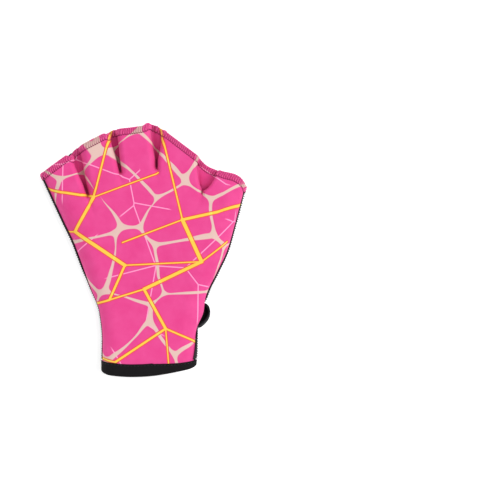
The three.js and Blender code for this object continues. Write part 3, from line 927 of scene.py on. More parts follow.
def thread(name, dark, light):
    material, board, shader, spot = new_material(name, 0.5, 0.08)
    share = board.spread(board.noise(spot, 1.11, 1.0), 0.38, 0.62)
    tint = board.mix(share, dark, light)
    cover(board, shader, tint, board.noise(spot, *THREAD_FUZZ), THREAD_FUZZ_DEPTH)
    return material


def knit_cloth(name, tint, finish, patch, lighter, depth, pitch):
    """A plain knit, a little lighter in patches of a size. finish is its roughness, sheen and shine."""
    roughness, sheen, shine = finish
    material, board, shader, spot = new_material(name, roughness, sheen, shine=shine)
    knit = place_group(board, knit_group, {"Spot": spot, "Pitch": pitch})
    light = tuple(c * lighter for c in tint[:3]) + (1.0,)
    cover(board, shader, board.mix(board.noise(spot, patch), tint, light), knit["Height"], depth)
    return material


def neoprene(name, tint, roughness=0.8, pitch=KNIT_PITCH):
    return knit_cloth(name, tint, (roughness, 0.06, 0.14), 9.0, 1.5, 0.15, pitch)


def tape_cloth(name, tint):
    return knit_cloth(name, tint, (0.75, 0.04, 0.12), 6.0, 1.6, 0.1, 0.4)


# Panels

# Columns of a panel's points over a stretch between two webs, beside a side's roll, round it and over a floor
STRETCH_COLUMNS = 48
SIDE_COLUMNS = 30
ROLL_COLUMNS = 15
CROWDING = 0.8
FLOOR_COLUMNS = np.array([0.2, 0.4, 0.6, 0.8])

# A panel's rows along the hand, first evenly and then closer beside the webs, with their first place, last
# place and count, and at last those at the hem, by how far each lies short of its edge
ROWS_TO_WEBS = (0, 0.55, 48)
ROWS_BY_WEBS = (0.55, 0.905, 80)
HEM_ROWS = np.array([
    10, 9, 8.1, 7.3, 6.7, 6.2, 5.9, 5.7, 5.5, 5.3, 5.1, 4.7, 4.1, 3.4, 2.6, 1.9, 1.3, 0.9, 0.55, 0.28, 0.1, 0,
])

# The hem's edge is rounded over this, and its needle line dents the cloth by this much over this width
HEM_EDGE_ROUND = 1.6
NEEDLE_DENT = 0.2
NEEDLE_DENT_WIDTH = 0.6

# Between which distances from the hem's edge the fold inside and the palm's pressed hem begin
FOLD_BEGINS = (HEM_DEPTH + 0.4, HEM_DEPTH - 0.2)
PRESSED_BEGINS = (HEM_DEPTH + 1.2, HEM_DEPTH - 0.2)


def hem_short(turn, below):
    """How far the hem's edge is drawn in at a place round the tube."""
    across = folded(turn)[0]
    drawn = HEM_SHORT_PALM if below else HEM_SHORT_BACK
    depths = HEM_DIPS["palm" if below else "back"]
    for place, width, depth in zip(HEM_DIPS["turn"], HEM_DIPS["width"], depths):
        drawn = drawn + depth * np.exp(-((across - place) / width) ** 2)
    return drawn


def columns_of(below):
    """Places across the hand, closest up the walls of each channel."""
    even = np.linspace(0, 1, STRETCH_COLUMNS)
    both_ends = even - CROWDING * np.sin(2 * math.pi * even) / (2 * math.pi)
    one_end = np.linspace(0, 1, SIDE_COLUMNS)
    one_end = 1 - one_end - CROWDING * np.sin(math.pi * (1 - one_end)) / math.pi
    places = []
    for k in range(LAST):
        low = k + (ROLL_SHARE if k == 0 else FLOOR_SHARE)
        high = k + 1 - (ROLL_SHARE if k == LAST - 1 else FLOOR_SHARE)
        ramp = {0: 1 - one_end, LAST - 1: one_end[::-1]}.get(k, both_ends)
        places.append(blend(low, high, ramp))
        if k < LAST - 1:
            places.append(blend(high, k + 1 + FLOOR_SHARE, FLOOR_COLUMNS))
    inner = np.concatenate(places)
    return 2 * LAST - inner[::-1] if below else inner


def panel_grid(below):
    """The places round the tube and along the hand of a panel's grid of points."""
    inner = columns_of(below)
    first, last = ("thumb", "little") if below else ("little", "thumb")
    towards_back = -CLEARANCE / 2 if below else CLEARANCE / 2
    lead = np.linspace(0, 1, ROLL_COLUMNS)[:-1]
    count = len(lead)

    def turns_at(along):
        start = seam_place(first, along[:, :count], towards_back)
        end = seam_place(last, along[:, -count:], towards_back) + (2 * LAST if below else 0)
        middle = np.broadcast_to(inner, (len(along), len(inner)))
        return np.concatenate([
            start + (inner[0] - start) * lead,
            middle,
            inner[-1] + (end - inner[-1]) * (1 - lead[::-1]),
        ], axis=1)

    size = len(inner) + 2 * count
    rows = np.concatenate([np.linspace(*ROWS_TO_WEBS)[:-1], np.linspace(*ROWS_BY_WEBS)])
    along = np.broadcast_to(rows[:, None], (len(rows), size))
    hem_turns = turns_at(np.ones((1, size)))[0]
    short = HEM_ROWS[:, None] + hem_short(hem_turns, below)
    along = np.concatenate([along, 1 - short / length_at(hem_turns)])
    edge = along[-1] * length_at(hem_turns)
    return turns_at(along), along, edge


def panel(name, below):
    """One panel of cloth, rounded at the hem, where it is folded in and sewn.

    Its maps are the flat cloth, the print, which lies in plan and goes on round the sides, and the hem.
    """
    turn, along, edge = panel_grid(below)
    middle = wall_point(turn, along)
    out = unit(np.cross(np.gradient(middle, axis=1), np.gradient(middle, axis=0)))
    place = place_of(turn, along)
    short = edge - along * length_at(turn)
    rounding = np.sqrt(1 - np.clip(1 - short / HEM_EDGE_ROUND, 0, 0.999) ** 2)
    fold = HEM_FOLD * place["rise"] * place["opened"] * smooth_step(short, *FOLD_BEGINS)
    pulled = NEEDLE_DENT * np.exp(-(((short - HEM_DEPTH) / NEEDLE_DENT_WIDTH) ** 2))
    pulled = pulled + HEM_PRESSED * below * smooth_step(short, *PRESSED_BEGINS)
    outer = middle + out * ((HALF_WALL - pulled) * rounding)[..., None]
    inner = middle - out * ((HALF_WALL + fold) * rounding)[..., None]

    centre = turn.shape[1] // 2
    across = np.linalg.norm(np.diff(middle, axis=1, prepend=middle[:, :1]), axis=-1).cumsum(axis=1)
    up = np.linalg.norm(np.diff(middle, axis=0, prepend=middle[:1]), axis=-1).cumsum(axis=0)
    cloth = np.stack([across - across[:, centre:centre + 1], up + middle[:1, :, 1]], -1)

    plan = middle[..., :2] - [SPAN / 2, 0]
    count = ROLL_COLUMNS - 1
    for columns, crown in ((slice(0, count), count), (slice(-count, None), -count - 1)):
        outwards = unit(middle[:, 0 if crown > 0 else -1, :2] - middle[:, crown, :2])
        gone = np.abs(across[:, columns] - across[:, crown][:, None])
        plan[:, columns] = plan[:, crown][:, None] + outwards[:, None] * gone[..., None]
    hem = np.stack([across, short], -1)
    return sheet_object(name, outer, inner, {"cloth": cloth, "print": plan, "hem": hem})


def slit_axis():
    """The slit's middle line in plan, from the cuff to its top, and the height of the palm's cloth there."""
    x0, _ = rib_point(LAST, 0.0)
    x1, _ = rib_point(LAST, SLIT_LENGTH / RIB_LENGTHS[LAST])
    level = HALF_WALL + WRIST_LIFT * float(read(SECTIONS, "lift", 0.0))
    return np.array([x0 - SLIT_INSET, 0.0]), np.array([x1 - SLIT_INSET, SLIT_LENGTH]), level


def palm_place(x):
    """The place under the palm that lies at a given x at the cuff."""
    turns = np.linspace(LAST + ROLL_SHARE, 2 * LAST - ROLL_SHARE, 800)
    return np.interp(-x, -wall_point(turns, 0.0)[:, 0], turns)


def slit_edge(grown, above_cuff, count=24):
    """The slit's edge in plan, up its thumb side, round its top and down its little side."""
    start, end, _ = slit_axis()
    way = end - start
    length = np.linalg.norm(way)
    up = way / length
    middle = start[0] + up[0] * (CUFF_SAG + CUFF_BAND)

    def first(sign):
        edges = (SLIT_HALF_AT_TOP, SLIT_HALF_AT_CUFF + SLIT_LEG)
        return max(wall_point(palm_place(middle + sign * aside), 0.0)[1] for aside in edges) + above_cuff

    def at(distance, aside, angle):
        return start + up * distance + [aside + grown * math.cos(angle), grown * math.sin(angle)]

    def half(distance):
        return blend(SLIT_HALF_AT_CUFF, SLIT_HALF_AT_TOP, distance / length)

    edge = [at(d, half(d), 0) for d in np.linspace(first(1), length, count)]
    for angle in np.linspace(0, math.pi, count)[1:-1]:
        beyond, aside = SLIT_HALF_AT_TOP * math.sin(angle), SLIT_HALF_AT_TOP * math.cos(angle)
        edge.append(at(length + beyond, aside, angle))
    edge += [at(d, -half(d), math.pi) for d in np.linspace(first(-1), length, count)[::-1]]
    return np.array(edge)


def back_cloth(print_material, lining):
    """The back's panel, printed outside and black inside."""
    piece, out_count = panel("back_cloth", below=False)
    piece.data.materials.append(print_material)
    piece.data.materials.append(lining)
    inner = np.zeros(len(piece.data.polygons), int)
    inner[out_count:2 * out_count] = 1
    piece.data.polygons.foreach_set("material_index", inner)
    return piece


def palm_cloth(material):
    """The black panel under the palm, with the wrist slit cut out of it."""
    piece, _ = panel("palm_cloth", below=True)
    _, _, level = slit_axis()
    edge = slit_edge(0, -2 * CUFF_BAND)
    rings = [np.column_stack([edge, np.full(len(edge), level + z)]) for z in (-4 * NEOPRENE, 4 * NEOPRENE)]
    cutter = bar_object("slit_cutter", np.array(rings))
    cut = piece.modifiers.new("slit", "BOOLEAN")
    cut.operation = "DIFFERENCE"
    cut.solver = "EXACT"
    cut.object = cutter
    plain = bpy.data.meshes.new_from_object(piece.evaluated_get(bpy.context.evaluated_depsgraph_get()))
    piece.modifiers.clear()
    piece.data = plain
    remove(cutter)
    plain.materials.clear()
    plain.materials.append(material)
    return piece


# Seams, tapes and strap

# Between which places round the tube the cuff's tape narrows, and widens again
BAND_NARROWS = (2.2, 4.9)
BAND_WIDENS = (5.1, 5.9)


def band_at(turn):
    """How wide the cuff's tape shows, which is less where it goes round the thumb's side."""
    narrowed = smooth_step(turn, *BAND_NARROWS) - smooth_step(turn, *BAND_WIDENS)
    return CUFF_BAND * (1 - BAND_NARROWED * narrowed)


def seam_span(side, short):
    """Where a side's seam starts above the tape and ends short of the hem."""
    length = RIB_LENGTHS[0 if side == "little" else LAST]
    return (band_at(0 if side == "little" else LAST) + CLEARANCE) / length, 1 - short / length


# A side seam's bead: its stations and sides, how square it is, and how its ends taper and sink
BEAD_STATIONS = 160
BEAD_SIDES = 14
BEAD_SQUARENESS = 0.8
BEAD_TAPER = 2
BEAD_END_SUNK = 0.4


def squared(values):
    return np.sign(values) * np.abs(values) ** BEAD_SQUARENESS


def side_seam(name, side, material):
    """The padded bead that the overlocked thread makes over the two panels' edges."""
    first, last = seam_span(side, SEAM_SHORT)
    along = first + (last - first) * (1 - np.cos(np.linspace(0, math.pi, BEAD_STATIONS))) / 2
    turn = seam_place(side, along)
    _, around, _, out = wall_axes(turn, along)
    angles = np.linspace(0, 2 * math.pi, BEAD_SIDES, endpoint=False)
    from_end = np.minimum(last - along, along - first) * RIB_LENGTHS[LAST]
    taper = np.sqrt(1 - (1 - np.clip(from_end / BEAD_TAPER, 0.02, 1)) ** 2)
    wide = SEAM_HEIGHT / 2 * squared(np.sin(angles))
    inner, outer = HALF_WALL - BEAD_SUNK, SEAM_OUT + SEAM_WIDTH
    centre = (inner + outer) / 2
    deep = (outer - inner) / 2 * squared(np.cos(angles))
    reached = centre - BEAD_END_SUNK * (1 - taper[:, None]) + deep * taper[:, None]
    rings = wall_point(turn, along)[:, None] + out[:, None] * reached[..., None]
    rings = rings + around[:, None] * (wide * taper[:, None])[..., None]
    return bar_object(name, rings, material)


def tape_section(leg):
    """A folded tape's section with rounded ends: distances in from the edge and out of the cloth's middle."""
    inside, outside = HALF_WALL + TAPE_GAP, HALF_WALL + TAPE_GAP + TAPE
    angles = np.linspace(math.pi / 2, 3 * math.pi / 2, 9)
    fold = [((TAPE + CLEARANCE) * math.cos(a), outside * math.sin(a)) for a in angles]
    outer_leg = [(leg, outside - 0.35), (leg - 0.25, outside - 0.08)]
    outer_leg += [(leg * share, outside) for share in (0.9, 0.66, 0.33)]
    inner_leg = [(-CLEARANCE, inside), (leg * 0.5, inside), (leg, inside)]
    other_side = [(x, -y) for x, y in outer_leg[::-1] + inner_leg[::-1]]
    return np.array(outer_leg + fold + other_side + inner_leg)


def cuff_ends():
    """Where the cuff's tape ends on either side of the slit, as places round the tube."""
    start, _, _ = slit_axis()
    half = SLIT_HALF_AT_CUFF - TAPE
    return palm_place(start[0] + half), palm_place(start[0] - half) - 2 * LAST


def cuff_tape(material):
    """The tape folded over the cuff's edge, from one side of the slit round to the other."""
    section = tape_section(CUFF_BAND)
    thumb_end, little_end = cuff_ends()
    stations = np.concatenate([
        np.linspace(little_end, -ROLL_SHARE, 60)[:-1],
        np.linspace(-ROLL_SHARE, ROLL_SHARE, 40)[:-1],
        np.linspace(ROLL_SHARE, LAST - ROLL_SHARE, 90)[:-1],
        np.linspace(LAST - ROLL_SHARE, LAST + ROLL_SHARE, 40)[:-1],
        np.linspace(LAST + ROLL_SHARE, thumb_end, 16),
    ])
    turn, from_edge = np.meshgrid(stations, section[:, 0], indexing="ij")
    from_edge = np.where(from_edge > 0, from_edge * band_at(turn) / CUFF_BAND, from_edge)
    rings = wall_offset(turn, from_edge, np.broadcast_to(section[:, 1], turn.shape))
    return bar_object("cuff_tape", rings, material)


def slit_tape(material):
    """The narrower tape folded over the slit's edge."""
    _, _, level = slit_axis()
    section = tape_section(SLIT_LEG)
    edges = np.array([slit_edge(p[0], CUFF_BAND + CLEARANCE) for p in section])
    heights = np.broadcast_to(level + section[:, 1:2], edges.shape[:2])
    rings = np.concatenate([edges, heights[..., None]], -1).transpose(1, 0, 2)
    return bar_object("slit_tape", rings, material)


# How the strap's fold bows out across its width: towards which edge, how blunt, and how little at the edges
BOW_LEAN = 0.75
BOW_BLUNT = 0.6
BOW_LEAST = 0.3


def strap_point(way, wide):
    """The strap's middle surface. way goes from its seam over the fold to 1 and on to 2 at its tip, and wide
    from its cuff edge at 0 to 1.
    """
    y = STRAP_FROM_CUFF + (wide - 0.5) * STRAP_WIDTH
    (_, foot), (_, head) = rib_point(LAST, 0.0), rib_point(LAST, 1.0)
    along = (y - foot) / (head - foot)
    seam = seam_place("thumb", along)
    root = wall_point(seam, along)
    leaned = wide**BOW_LEAN
    bow = np.clip(4 * leaned * (1 - leaned), 0, 1) ** BOW_BLUNT
    beyond = (SEAM_OUT + SEAM_WIDTH + CLEARANCE) / wall_axes(seam, along)[3][..., 0]
    root_x = root[..., 0] + beyond * blend(BOW_LEAST, 1, bow)
    angle = np.minimum(way, 1) * math.pi
    under = np.maximum(0, way - 1)
    floor = STRAP_THICKNESS / 2
    tip = root[..., 0] - STRAP_REACH + STRAP_WIDTH * STRAP_TIP_ROUND * (2 * wide - 1) ** 4 * under**2
    x = blend(root_x + STRAP_BULGE * bow * np.sin(angle), tip, under)
    z = np.where(way < 1, blend(floor, root[..., 2], (1 + np.cos(angle)) / 2), floor)
    return np.stack([x, y - STRAP_SKEW * np.minimum(way, 1) - STRAP_SLOPE * STRAP_REACH * under, z], -1)


def strap_cloth(material):
    """The strap, with rounded edges."""
    way, wide = np.meshgrid(
        np.concatenate([np.linspace(0, 1, 40)[:-1], np.linspace(1, 2, 60)]),
        (1 - np.cos(np.linspace(0, math.pi, 24))) / 2,
        indexing="ij",
    )
    middle = strap_point(way, wide)
    out = unit(np.cross(np.gradient(middle, axis=0), np.gradient(middle, axis=1)))
    from_edge = np.minimum(wide, 1 - wide) * STRAP_WIDTH
    rounding = np.sqrt(1 - np.clip(1 - from_edge / STRAP_EDGE_ROUND, 0, 0.97) ** 2)
    half = (STRAP_THICKNESS / 2 * rounding)[..., None]
    made, _ = sheet_object("strap_cloth", middle + out * half, middle - out * half)
    face_outwards(made)
    made.data.materials.append(material)
    return made


# The pad's section: how far in from its outline each ring lies, and its height as a share of half the pad's
PAD_SECTION = ((1.2, -0.98), (0.35, -0.9), (0.05, -0.5), (0, 0), (0.05, 0.5), (0.35, 0.9), (1.2, 0.98))


def loop_pad(material):
    """The pad that the strap closes on, with soft edges and a slightly crowned pile."""
    low, high = [np.array(corner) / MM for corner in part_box("loop_patch")]
    centre, half = (low + high) / 2 + ORIGIN, (high - low) / 2
    angles = np.linspace(0, 2 * math.pi, 96, endpoint=False)
    round_corners = np.stack([np.cos(angles), np.sin(angles)], -1)
    outline = np.sign(round_corners) * (half[:2] - PAD_CORNER) + PAD_CORNER * round_corners
    rings = []
    for shrink, z in PAD_SECTION:
        plan = outline * (half[:2] - shrink) / half[:2] + centre[:2]
        rings.append(np.column_stack([plan, np.full(len(outline), centre[2] + z * half[2])]))
    return bar_object("loop_pad", np.array(rings), material)


# Stitches

# Lengths and radii of the stitches that lie flat, how deep the hem's needle line lies, and where the strap
# is sewn, across it and along its way
TAPE_STITCH = (1.7, 0.28)
NEEDLE_STITCH = (0.55, 0.5)
NEEDLE_SUNK = 0.12
STRAP_LINES = (0.12, 0.86)
STRAP_SEWN = (0.08, 0.6)
STITCH_INPUTS = (("Path", "Geometry"), ("Stitch", "Object"), ("Pitch", "Float"), ("Thread", "Material"))


def stitch_tree():
    """Geometry nodes that set a stitch at every pitch of a path, turned with the cloth."""
    tree = bpy.data.node_groups.new("stitch row", "GeometryNodeTree")
    for label, kind in STITCH_INPUTS:
        tree.interface.new_socket(label, in_out="INPUT", socket_type="NodeSocket" + kind)
    tree.interface.new_socket("Stitches", in_out="OUTPUT", socket_type="NodeSocketGeometry")
    board = Board(tree)
    given, out = board.node("NodeGroupInput").outputs, board.node("NodeGroupOutput").inputs
    curve = board.node("GeometryNodeMeshToCurve", {"Mesh": given["Path"]}).outputs[0]
    even = board.node("GeometryNodeResampleCurve", {"Curve": curve, "Length": given["Pitch"]}, mode="LENGTH")
    normal = board.node("GeometryNodeInputNamedAttribute", {"Name": "out"}, data_type="FLOAT_VECTOR")
    tangent = board.node("GeometryNodeInputTangent")
    wires = {"Primary Axis": tangent.outputs[0], "Secondary Axis": normal.outputs[0]}
    turn = board.node("FunctionNodeAxesToRotation", wires, primary_axis="X", secondary_axis="Z")
    stitch = board.node("GeometryNodeObjectInfo", {"Object": given["Stitch"]})
    wires = {"Points": even.outputs[0], "Instance": stitch.outputs["Geometry"], "Rotation": turn.outputs[0]}
    placed = board.node("GeometryNodeInstanceOnPoints", wires)
    real = board.node("GeometryNodeRealizeInstances", {"Geometry": placed.outputs[0]})
    wires = {"Geometry": real.outputs[0], "Material": given["Thread"]}
    board.feed(out[0], board.node("GeometryNodeSetMaterial", wires).outputs[0])
    return tree


STITCH_TREE = stitch_tree()


def path_object(points, out):
    """A path through points that knows which way is out of the cloth at each."""
    mesh = new_mesh("path", points, [(i, i + 1) for i in range(len(points) - 1)], [])
    layer = mesh.attributes.new("out", "FLOAT_VECTOR", "POINT")
    layer.data.foreach_set("vector", np.ascontiguousarray(out).ravel())
    return link("path", mesh)


def stitch_row(name, paths, stitch, pitch, material):
    """Stitches along one or more paths, as one plain mesh. Each path is its points and their out."""
    parts = []
    for points, out in paths:
        path = path_object(points, out)
        rows = path.modifiers.new("stitches", "NODES")
        rows.node_group = STITCH_TREE
        values = {"Stitch": stitch, "Pitch": pitch * MM, "Thread": material}
        for item in STITCH_TREE.interface.items_tree:
            if item.in_out == "INPUT" and item.name in values:
                rows[item.identifier] = values[item.name]
        evaluated = path.evaluated_get(bpy.context.evaluated_depsgraph_get())
        parts.append(bpy.data.meshes.new_from_object(evaluated))
        remove(path)
    joined = bmesh.new()
    for part in parts:
        joined.from_mesh(part)
    mesh = bpy.data.meshes.new(name)
    joined.to_mesh(mesh)
    joined.free()
    mesh.materials.append(material)
    made = link(name, mesh)
    smooth(made)
    return made


# How far apart the stitches of each row lie
HEM_PITCH = 1.8
SEAM_PITCH = 2.0
TAPE_PITCH = 2.8
STRAP_PITCH = 2.2

# How far the back's hem stitches go on round the side seams and how gently they step over them, how open the
# cloth is where a web begins, and how many points the hem's line has
HEM_ROUND = 2.3
HEM_STEP = 1.2
WEB_OPENED = 0.7
HEM_COUNT = 2400


def hem_line(below):
    """The hem's needle line: places round the tube and along the hand, and how far each has gone.

    The back's line goes on over the side seams, down to where the palm's line begins.
    """
    little, thumb = [seam_place(side, 1.0, -HEM_ROUND - CLEARANCE * below) for side in ("little", "thumb")]
    first, last = (thumb, little + 2 * LAST) if below else (little, thumb)
    turn = np.linspace(first, last, HEM_COUNT)
    along = 1 - (HEM_DEPTH + hem_short(turn, below)) / length_at(turn)
    steps = np.linalg.norm(np.diff(wall_point(turn, along), axis=0), axis=-1)
    return turn, along, np.concatenate([[0], steps.cumsum()])


def hem_stretches(below, webs):
    """The parts of the needle line over the finger channels or over the webs, from where to where."""
    turn, along, reach = hem_line(below)
    chosen = (place_of(turn, along)["opened"] < WEB_OPENED) == webs
    chosen = chosen & (reach < reach[-1] - HEM_PITCH)
    edges = np.flatnonzero(np.diff(np.concatenate([[0], chosen.astype(int), [0]])))
    stretches = [(reach[a], reach[b - 1]) for a, b in zip(edges[::2], edges[1::2])]
    return [(start, end) for start, end in stretches if end - start > 1]


def hem_row(name, below, stretches, stitch, outwards, material):
    """Stitches along the hem, sewn in a straight row and then bent onto the cloth."""
    up = np.tile([0.0, 0.0, 1.0], (2, 1))
    paths = [(ORIGIN + [(start, 0, 0), (end, 0, 0)], up) for start, end in stretches]
    row = stitch_row(name, paths, stitch, HEM_PITCH, material)
    flat = np.empty(len(row.data.vertices) * 3)
    row.data.vertices.foreach_get("co", flat)
    gone, onward, above = flat.reshape(-1, 3).T / MM
    turns, _, reach = hem_line(below)
    turn = np.interp(gone, reach, turns)
    along = 1 - (HEM_DEPTH - onward + hem_short(turn, below)) / length_at(turn)
    out = wall_axes(turn, np.minimum(along, 1))[3]
    from_seam = np.minimum(gone, reach[-1] - gone) - HEM_ROUND
    over_bead = (SEAM_OUT + SEAM_WIDTH - HALF_WALL) * smooth_step(from_seam, HEM_ROUND + HEM_STEP, HEM_ROUND)
    points = wall_point(turn, along) + out * (outwards + above + (not below) * over_bead)[:, None]
    row.data.vertices.foreach_set("co", ((points - ORIGIN) * MM).ravel())
    row.data.update()
    return row


def seam_path(side, outwards, count=400):
    """A line along a side's seam."""
    first, last = seam_span(side, SEAM_SHORT + 1)
    along = np.linspace(first, last, count)
    turn = seam_place(side, along)
    out = wall_axes(turn, along)[3]
    return wall_point(turn, along) + out * outwards, out


# The threads of one stitch. Their points go along the row, towards the hem's edge and out of the cloth
HEM_STRAND = 0.38
RETURN_STRAND = 0.17
EDGE_STRAND = 0.5
SEAM_STRAND = 0.3
OVER_EDGE = HEM_DEPTH - 0.05
STRAND_OVER_CLOTH = [
    (0, -0.1, -0.2), (0.1, 0.6, 0.18), (0.3, 2.2, 0.24), (0.5, 4.2, 0.2), (0.62, OVER_EDGE - 0.5, -0.1),
    (0.66, OVER_EDGE, -0.7),
]


def hem_stitch():
    """One strand of overlock thread, from the needle line over the hem's edge and back inside."""
    drop = NEOPRENE + HEM_FOLD
    inside = [
        (0.68, OVER_EDGE + 0.05, -drop * 0.55), (0.7, OVER_EDGE - 0.4, -drop + 0.1),
        (0.8, OVER_EDGE - 1.4, -drop - 0.2), (0.8, 2.6, -drop - 0.2),
    ]
    return thread_object("hem_stitch", STRAND_OVER_CLOTH + inside, HEM_STRAND)


def web_stitch():
    """The same strand where the two layers meet at a web: it goes no deeper than its own layer."""
    into_layer = [(0.68, OVER_EDGE + 0.02, -NEOPRENE * 0.7), (0.7, OVER_EDGE - 0.2, -NEOPRENE + 0.2)]
    return thread_object("web_stitch", STRAND_OVER_CLOTH + into_layer, HEM_STRAND)


def edge_loop():
    """The looper thread that lies along the hem's cut edge and locks the strands there."""
    over = HEM_DEPTH - 0.3
    path = [
        (-0.3, over - 0.3, -0.5), (0.3, over, -0.5), (0.9, over + 0.05, -1.0),
        (1.5, over, -1.5), (2.1, over - 0.25, -1.5),
    ]
    return thread_object("edge_loop", path, EDGE_STRAND)


def hem_return():
    """The thinner thread that runs back from the edge to the needle line."""
    over = HEM_DEPTH + 0.1
    path = [
        (0.66, over - 0.1, -0.4), (0.85, over - 0.6, 0.08), (1.15, 4.2, 0.12), (1.5, 2.2, 0.12),
        (1.75, 0.4, 0.05), (1.8, -0.1, -0.1),
    ]
    return thread_object("hem_return", path, RETURN_STRAND)


def needle_stitch(length, radius):
    """A short stitch that lies along its row, with both ends in the cloth."""
    places = ((-0.5, -0.3), (-0.25, 0.02), (0, 0.1), (0.25, 0.02), (0.5, -0.3))
    return thread_object("needle_stitch", [(length * share, 0, z) for share, z in places], radius)


def seam_loop():
    """A loop of overlock thread over the side seam's bead, slanted a little along it."""
    half, sunk = SEAM_HEIGHT / 2 + 0.5, 0.15 - SEAM_WIDTH
    rising = [(-0.3, -half, sunk), (-0.25, -half + 0.25, -0.25), (-0.12, -half * 0.5, 0.2)]
    falling = [(-x, -y, z) for x, y, z in rising[::-1]]
    return thread_object("seam_loop", [*rising, (0, 0, 0.3), *falling], SEAM_STRAND)


def cuff_path(count=600):
    """The stitched line near the inner edge of the cuff's tape."""
    thumb_end, little_end = cuff_ends()
    turn = np.linspace(little_end, thumb_end, count)
    from_edge = band_at(turn) - TAPE_MARGIN
    out = wall_axes(turn, from_edge / length_at(turn))[3]
    return wall_offset(turn, from_edge, HALF_WALL + TAPE_GAP + TAPE), out


def slit_path():
    """The stitched line round the slit's tape, on the side that lies down."""
    edge = slit_edge(SLIT_LEG - 1, CUFF_BAND + CLEARANCE + 1)
    level = slit_axis()[2] - HALF_WALL - TAPE_GAP - TAPE
    down = np.tile([0.0, 0.0, -1.0], (len(edge), 1))
    return np.column_stack([edge, np.full(len(edge), level)]), down


def strap_path(wide, count=120):
    """A stitched line along one edge of the strap, over its fold."""
    way = np.linspace(*STRAP_SEWN, count)
    points = strap_point(way, np.full(count, wide))
    onward = np.gradient(points, axis=0)
    out = unit(np.cross(strap_point(way, np.full(count, wide + 0.02)) - points, onward))
    return points + out * (STRAP_THICKNESS / 2), out


# The set

# The floor's half size and how far below the glove it lies, in metres, how white it is and how much it
# glows, and the light from all round
FLOOR_HALF = 4.0
FLOOR_DROP = 0.0003
FLOOR_WHITE = 0.92
FLOOR_GLOW = 0.42
WORLD_LIGHT = 0.4

# The two soft boxes. bearing is measured from +X towards +Y, and the angles are in degrees
SOFT_BOXES = table("bearing elevation strength spread", [
    (20, 42, 2.8, 45),
    (185, 45, 1.3, 60),
])


def floor():
    """A pale floor just under the glove, lit a little by itself so that it stays white."""
    corners = ((-1, -1), (1, -1), (1, 1), (-1, 1))
    mesh = bpy.data.meshes.new("floor")
    mesh.from_pydata([(x * FLOOR_HALF, y * FLOOR_HALF, -FLOOR_DROP) for x, y in corners], [], [(0, 1, 2, 3)])
    material = bpy.data.materials.new("pale floor")
    material.use_nodes = True
    shader = material.node_tree.nodes["Principled BSDF"]
    shader.inputs["Base Color"].default_value = (FLOOR_WHITE, FLOOR_WHITE, FLOOR_WHITE, 1)
    shader.inputs["Roughness"].default_value = 0.9
    shader.inputs["Emission Color"].default_value = (1, 1, 1, 1)
    shader.inputs["Emission Strength"].default_value = FLOOR_GLOW
    mesh.materials.append(material)
    link("floor", mesh)


def soft_box(name, bearing, elevation, strength, spread):
    """A broad even light from far off."""
    data = bpy.data.lights.new(name, "SUN")
    data.energy = strength
    data.angle = math.radians(spread)
    b, e = math.radians(bearing), math.radians(elevation)
    towards = Vector((math.cos(b) * math.cos(e), math.sin(b) * math.cos(e), math.sin(e)))
    light = link(name, data)
    light.rotation_mode = "QUATERNION"
    light.rotation_quaternion = towards.to_track_quat("Z", "Y")


def studio():
    """White light from all round and two soft boxes."""
    world = bpy.data.worlds.new("studio")
    world.use_nodes = True
    background = world.node_tree.nodes["Background"]
    background.inputs["Color"].default_value = (1, 1, 1, 1)
    background.inputs["Strength"].default_value = WORLD_LIGHT
    bpy.context.scene.world = world
    for name, *settings in zip(("key", "fill"), *SOFT_BOXES.values()):
        soft_box(name, *settings)
    bpy.context.scene.view_settings.view_transform = "Standard"


# The photograph's view: straight down, 500 pixels of 0.84 mm, with the glove left of the middle. The camera's
# height and the glove's middle are in metres
PIXEL = 0.84
PICTURE = 500
GLOVE_FROM_LEFT = 142.3
GLOVE_BOTTOM_FROM_TOP = 377
CAMERA_HEIGHT = 1.7
GLOVE_MIDDLE = 0.009
SENSOR = 36


def camera():
    """Looks straight down on the glove's own place in the picture."""
    data = bpy.data.cameras.new("camera")
    data.sensor_width = SENSOR
    data.lens = SENSOR * (CAMERA_HEIGHT - GLOVE_MIDDLE) / (PICTURE * PIXEL * MM)
    data.clip_end = 10
    made = link("camera", data)
    across = (PICTURE / 2 - GLOVE_FROM_LEFT) * PIXEL * MM
    low_edge = cad_bounds[0][1]
    up = low_edge + (GLOVE_BOTTOM_FROM_TOP - PICTURE / 2) * PIXEL * MM
    made.location = (across, up, CAMERA_HEIGHT)
    bpy.context.scene.camera = made


# The whole glove

def place_pieces(black_thread):
    """The cloths, seams, tapes, strap and pad, each in the place of its solid."""
    lining = neoprene("black lining", colour(30, 28, 32))
    black_cloth = neoprene("black neoprene", BLACK)
    tape = tape_cloth("black binding tape", colour(13, 11, 13))
    webbing = tape_cloth("black strap cloth", colour(19, 16, 20))
    pile = neoprene("black loop pile", colour(20, 19, 22), roughness=0.95, pitch=0.9)
    back = back_cloth(printed_neoprene(), lining)
    palm = palm_cloth(black_cloth)
    pieces = [
        (back, "back_panel", "printed_neoprene"),
        (palm, "palm_panel", "black_neoprene"),
        (side_seam("little_seam_bead", "little", black_thread), "little_side_seam", "seam_thread"),
        (side_seam("thumb_seam_bead", "thumb", black_thread), "thumb_side_seam", "seam_thread"),
        (cuff_tape(tape), "cuff_binding", "binding_tape"),
        (slit_tape(tape), "slit_binding", "binding_tape"),
        (strap_cloth(webbing), "wrist_strap", "strap_cloth"),
        (loop_pad(pile), "loop_patch", "loop_pile"),
    ]
    for piece, node, slot in pieces:
        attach(piece, "root")
        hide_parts(node)
    return back, palm


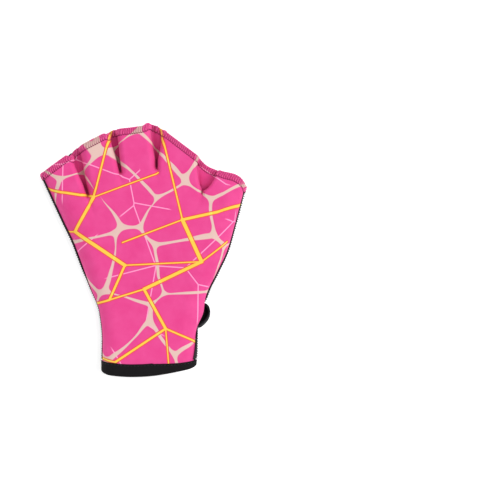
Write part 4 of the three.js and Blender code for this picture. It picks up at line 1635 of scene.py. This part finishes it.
def hem_rows(name, below, stitches, material, slot):
    """All the thread of one cloth's hem, from its four kinds of stitch."""
    level = HALF_WALL - HEM_PRESSED * below
    channels, webs = hem_stretches(below, webs=False), hem_stretches(below, webs=True)
    wrap, web_wrap, back_thread, edge = stitches
    rows = [
        ("_wraps", channels, wrap),
        ("_web_wraps", webs, web_wrap),
        ("_loops", channels + webs, back_thread),
        ("_edge", channels, edge),
    ]
    return [(hem_row(name + end, below, parts, stitch, level, material), slot) for end, parts, stitch in rows]


def needle_line(stitch, material):
    """The needle thread along the back's hem, coloured dark as painted shade of its needle holes, which ends
    short of the side seams' beads.
    """
    off_bead = 2 * HEM_ROUND, hem_line(below=False)[2][-1] - 2 * HEM_ROUND
    whole_hem = hem_stretches(False, webs=False) + hem_stretches(False, webs=True)
    whole_hem = [tuple(np.clip(stretch, *off_bead)) for stretch in whole_hem]
    return hem_row("back_hem_needle_line", False, whole_hem, stitch, HALF_WALL - NEEDLE_SUNK, material)


def place_stitches(black_thread):
    """All the thread that shows, in rows."""
    pink_thread = hem_thread()
    # The needle thread is real, but its dark colour is painted shade of the needle holes it goes through
    shaded_needle_thread = thread("needle thread with painted hole shade", colour(112, 10, 62), colour(150, 24, 88))
    over_hem = hem_stitch(), web_stitch(), hem_return(), edge_loop()
    needle, tape_needle, loop = needle_stitch(*NEEDLE_STITCH), needle_stitch(*TAPE_STITCH), seam_loop()
    placed = [(needle_line(needle, shaded_needle_thread), "printed_neoprene")]
    placed += hem_rows("back_hem", False, over_hem, pink_thread, "printed_neoprene")
    placed += hem_rows("palm_hem", True, over_hem, black_thread, "black_neoprene")
    sides = [seam_path(side, SEAM_OUT + SEAM_WIDTH) for side in ("little", "thumb")]
    strap_lines = [strap_path(wide) for wide in STRAP_LINES]
    rows = [
        ("side_seam_loops", sides, loop, SEAM_PITCH, "seam_thread"),
        ("cuff_tape_stitches", [cuff_path()], tape_needle, TAPE_PITCH, "binding_tape"),
        ("slit_tape_stitches", [slit_path()], tape_needle, TAPE_PITCH, "binding_tape"),
        ("strap_stitches", strap_lines, tape_needle, STRAP_PITCH, "strap_cloth"),
    ]
    for name, paths, stitch, pitch, slot in rows:
        placed.append((stitch_row(name, paths, stitch, pitch, black_thread), slot))
    remove(*over_hem, needle, tape_needle, loop)
    for piece, slot in placed:
        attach(piece, "root")


def build():
    camera()
    black_thread = thread("black seam thread", colour(10, 9, 11), colour(34, 31, 36))
    back, palm = place_pieces(black_thread)
    place_stitches(black_thread)
    floor()
    studio()


build()
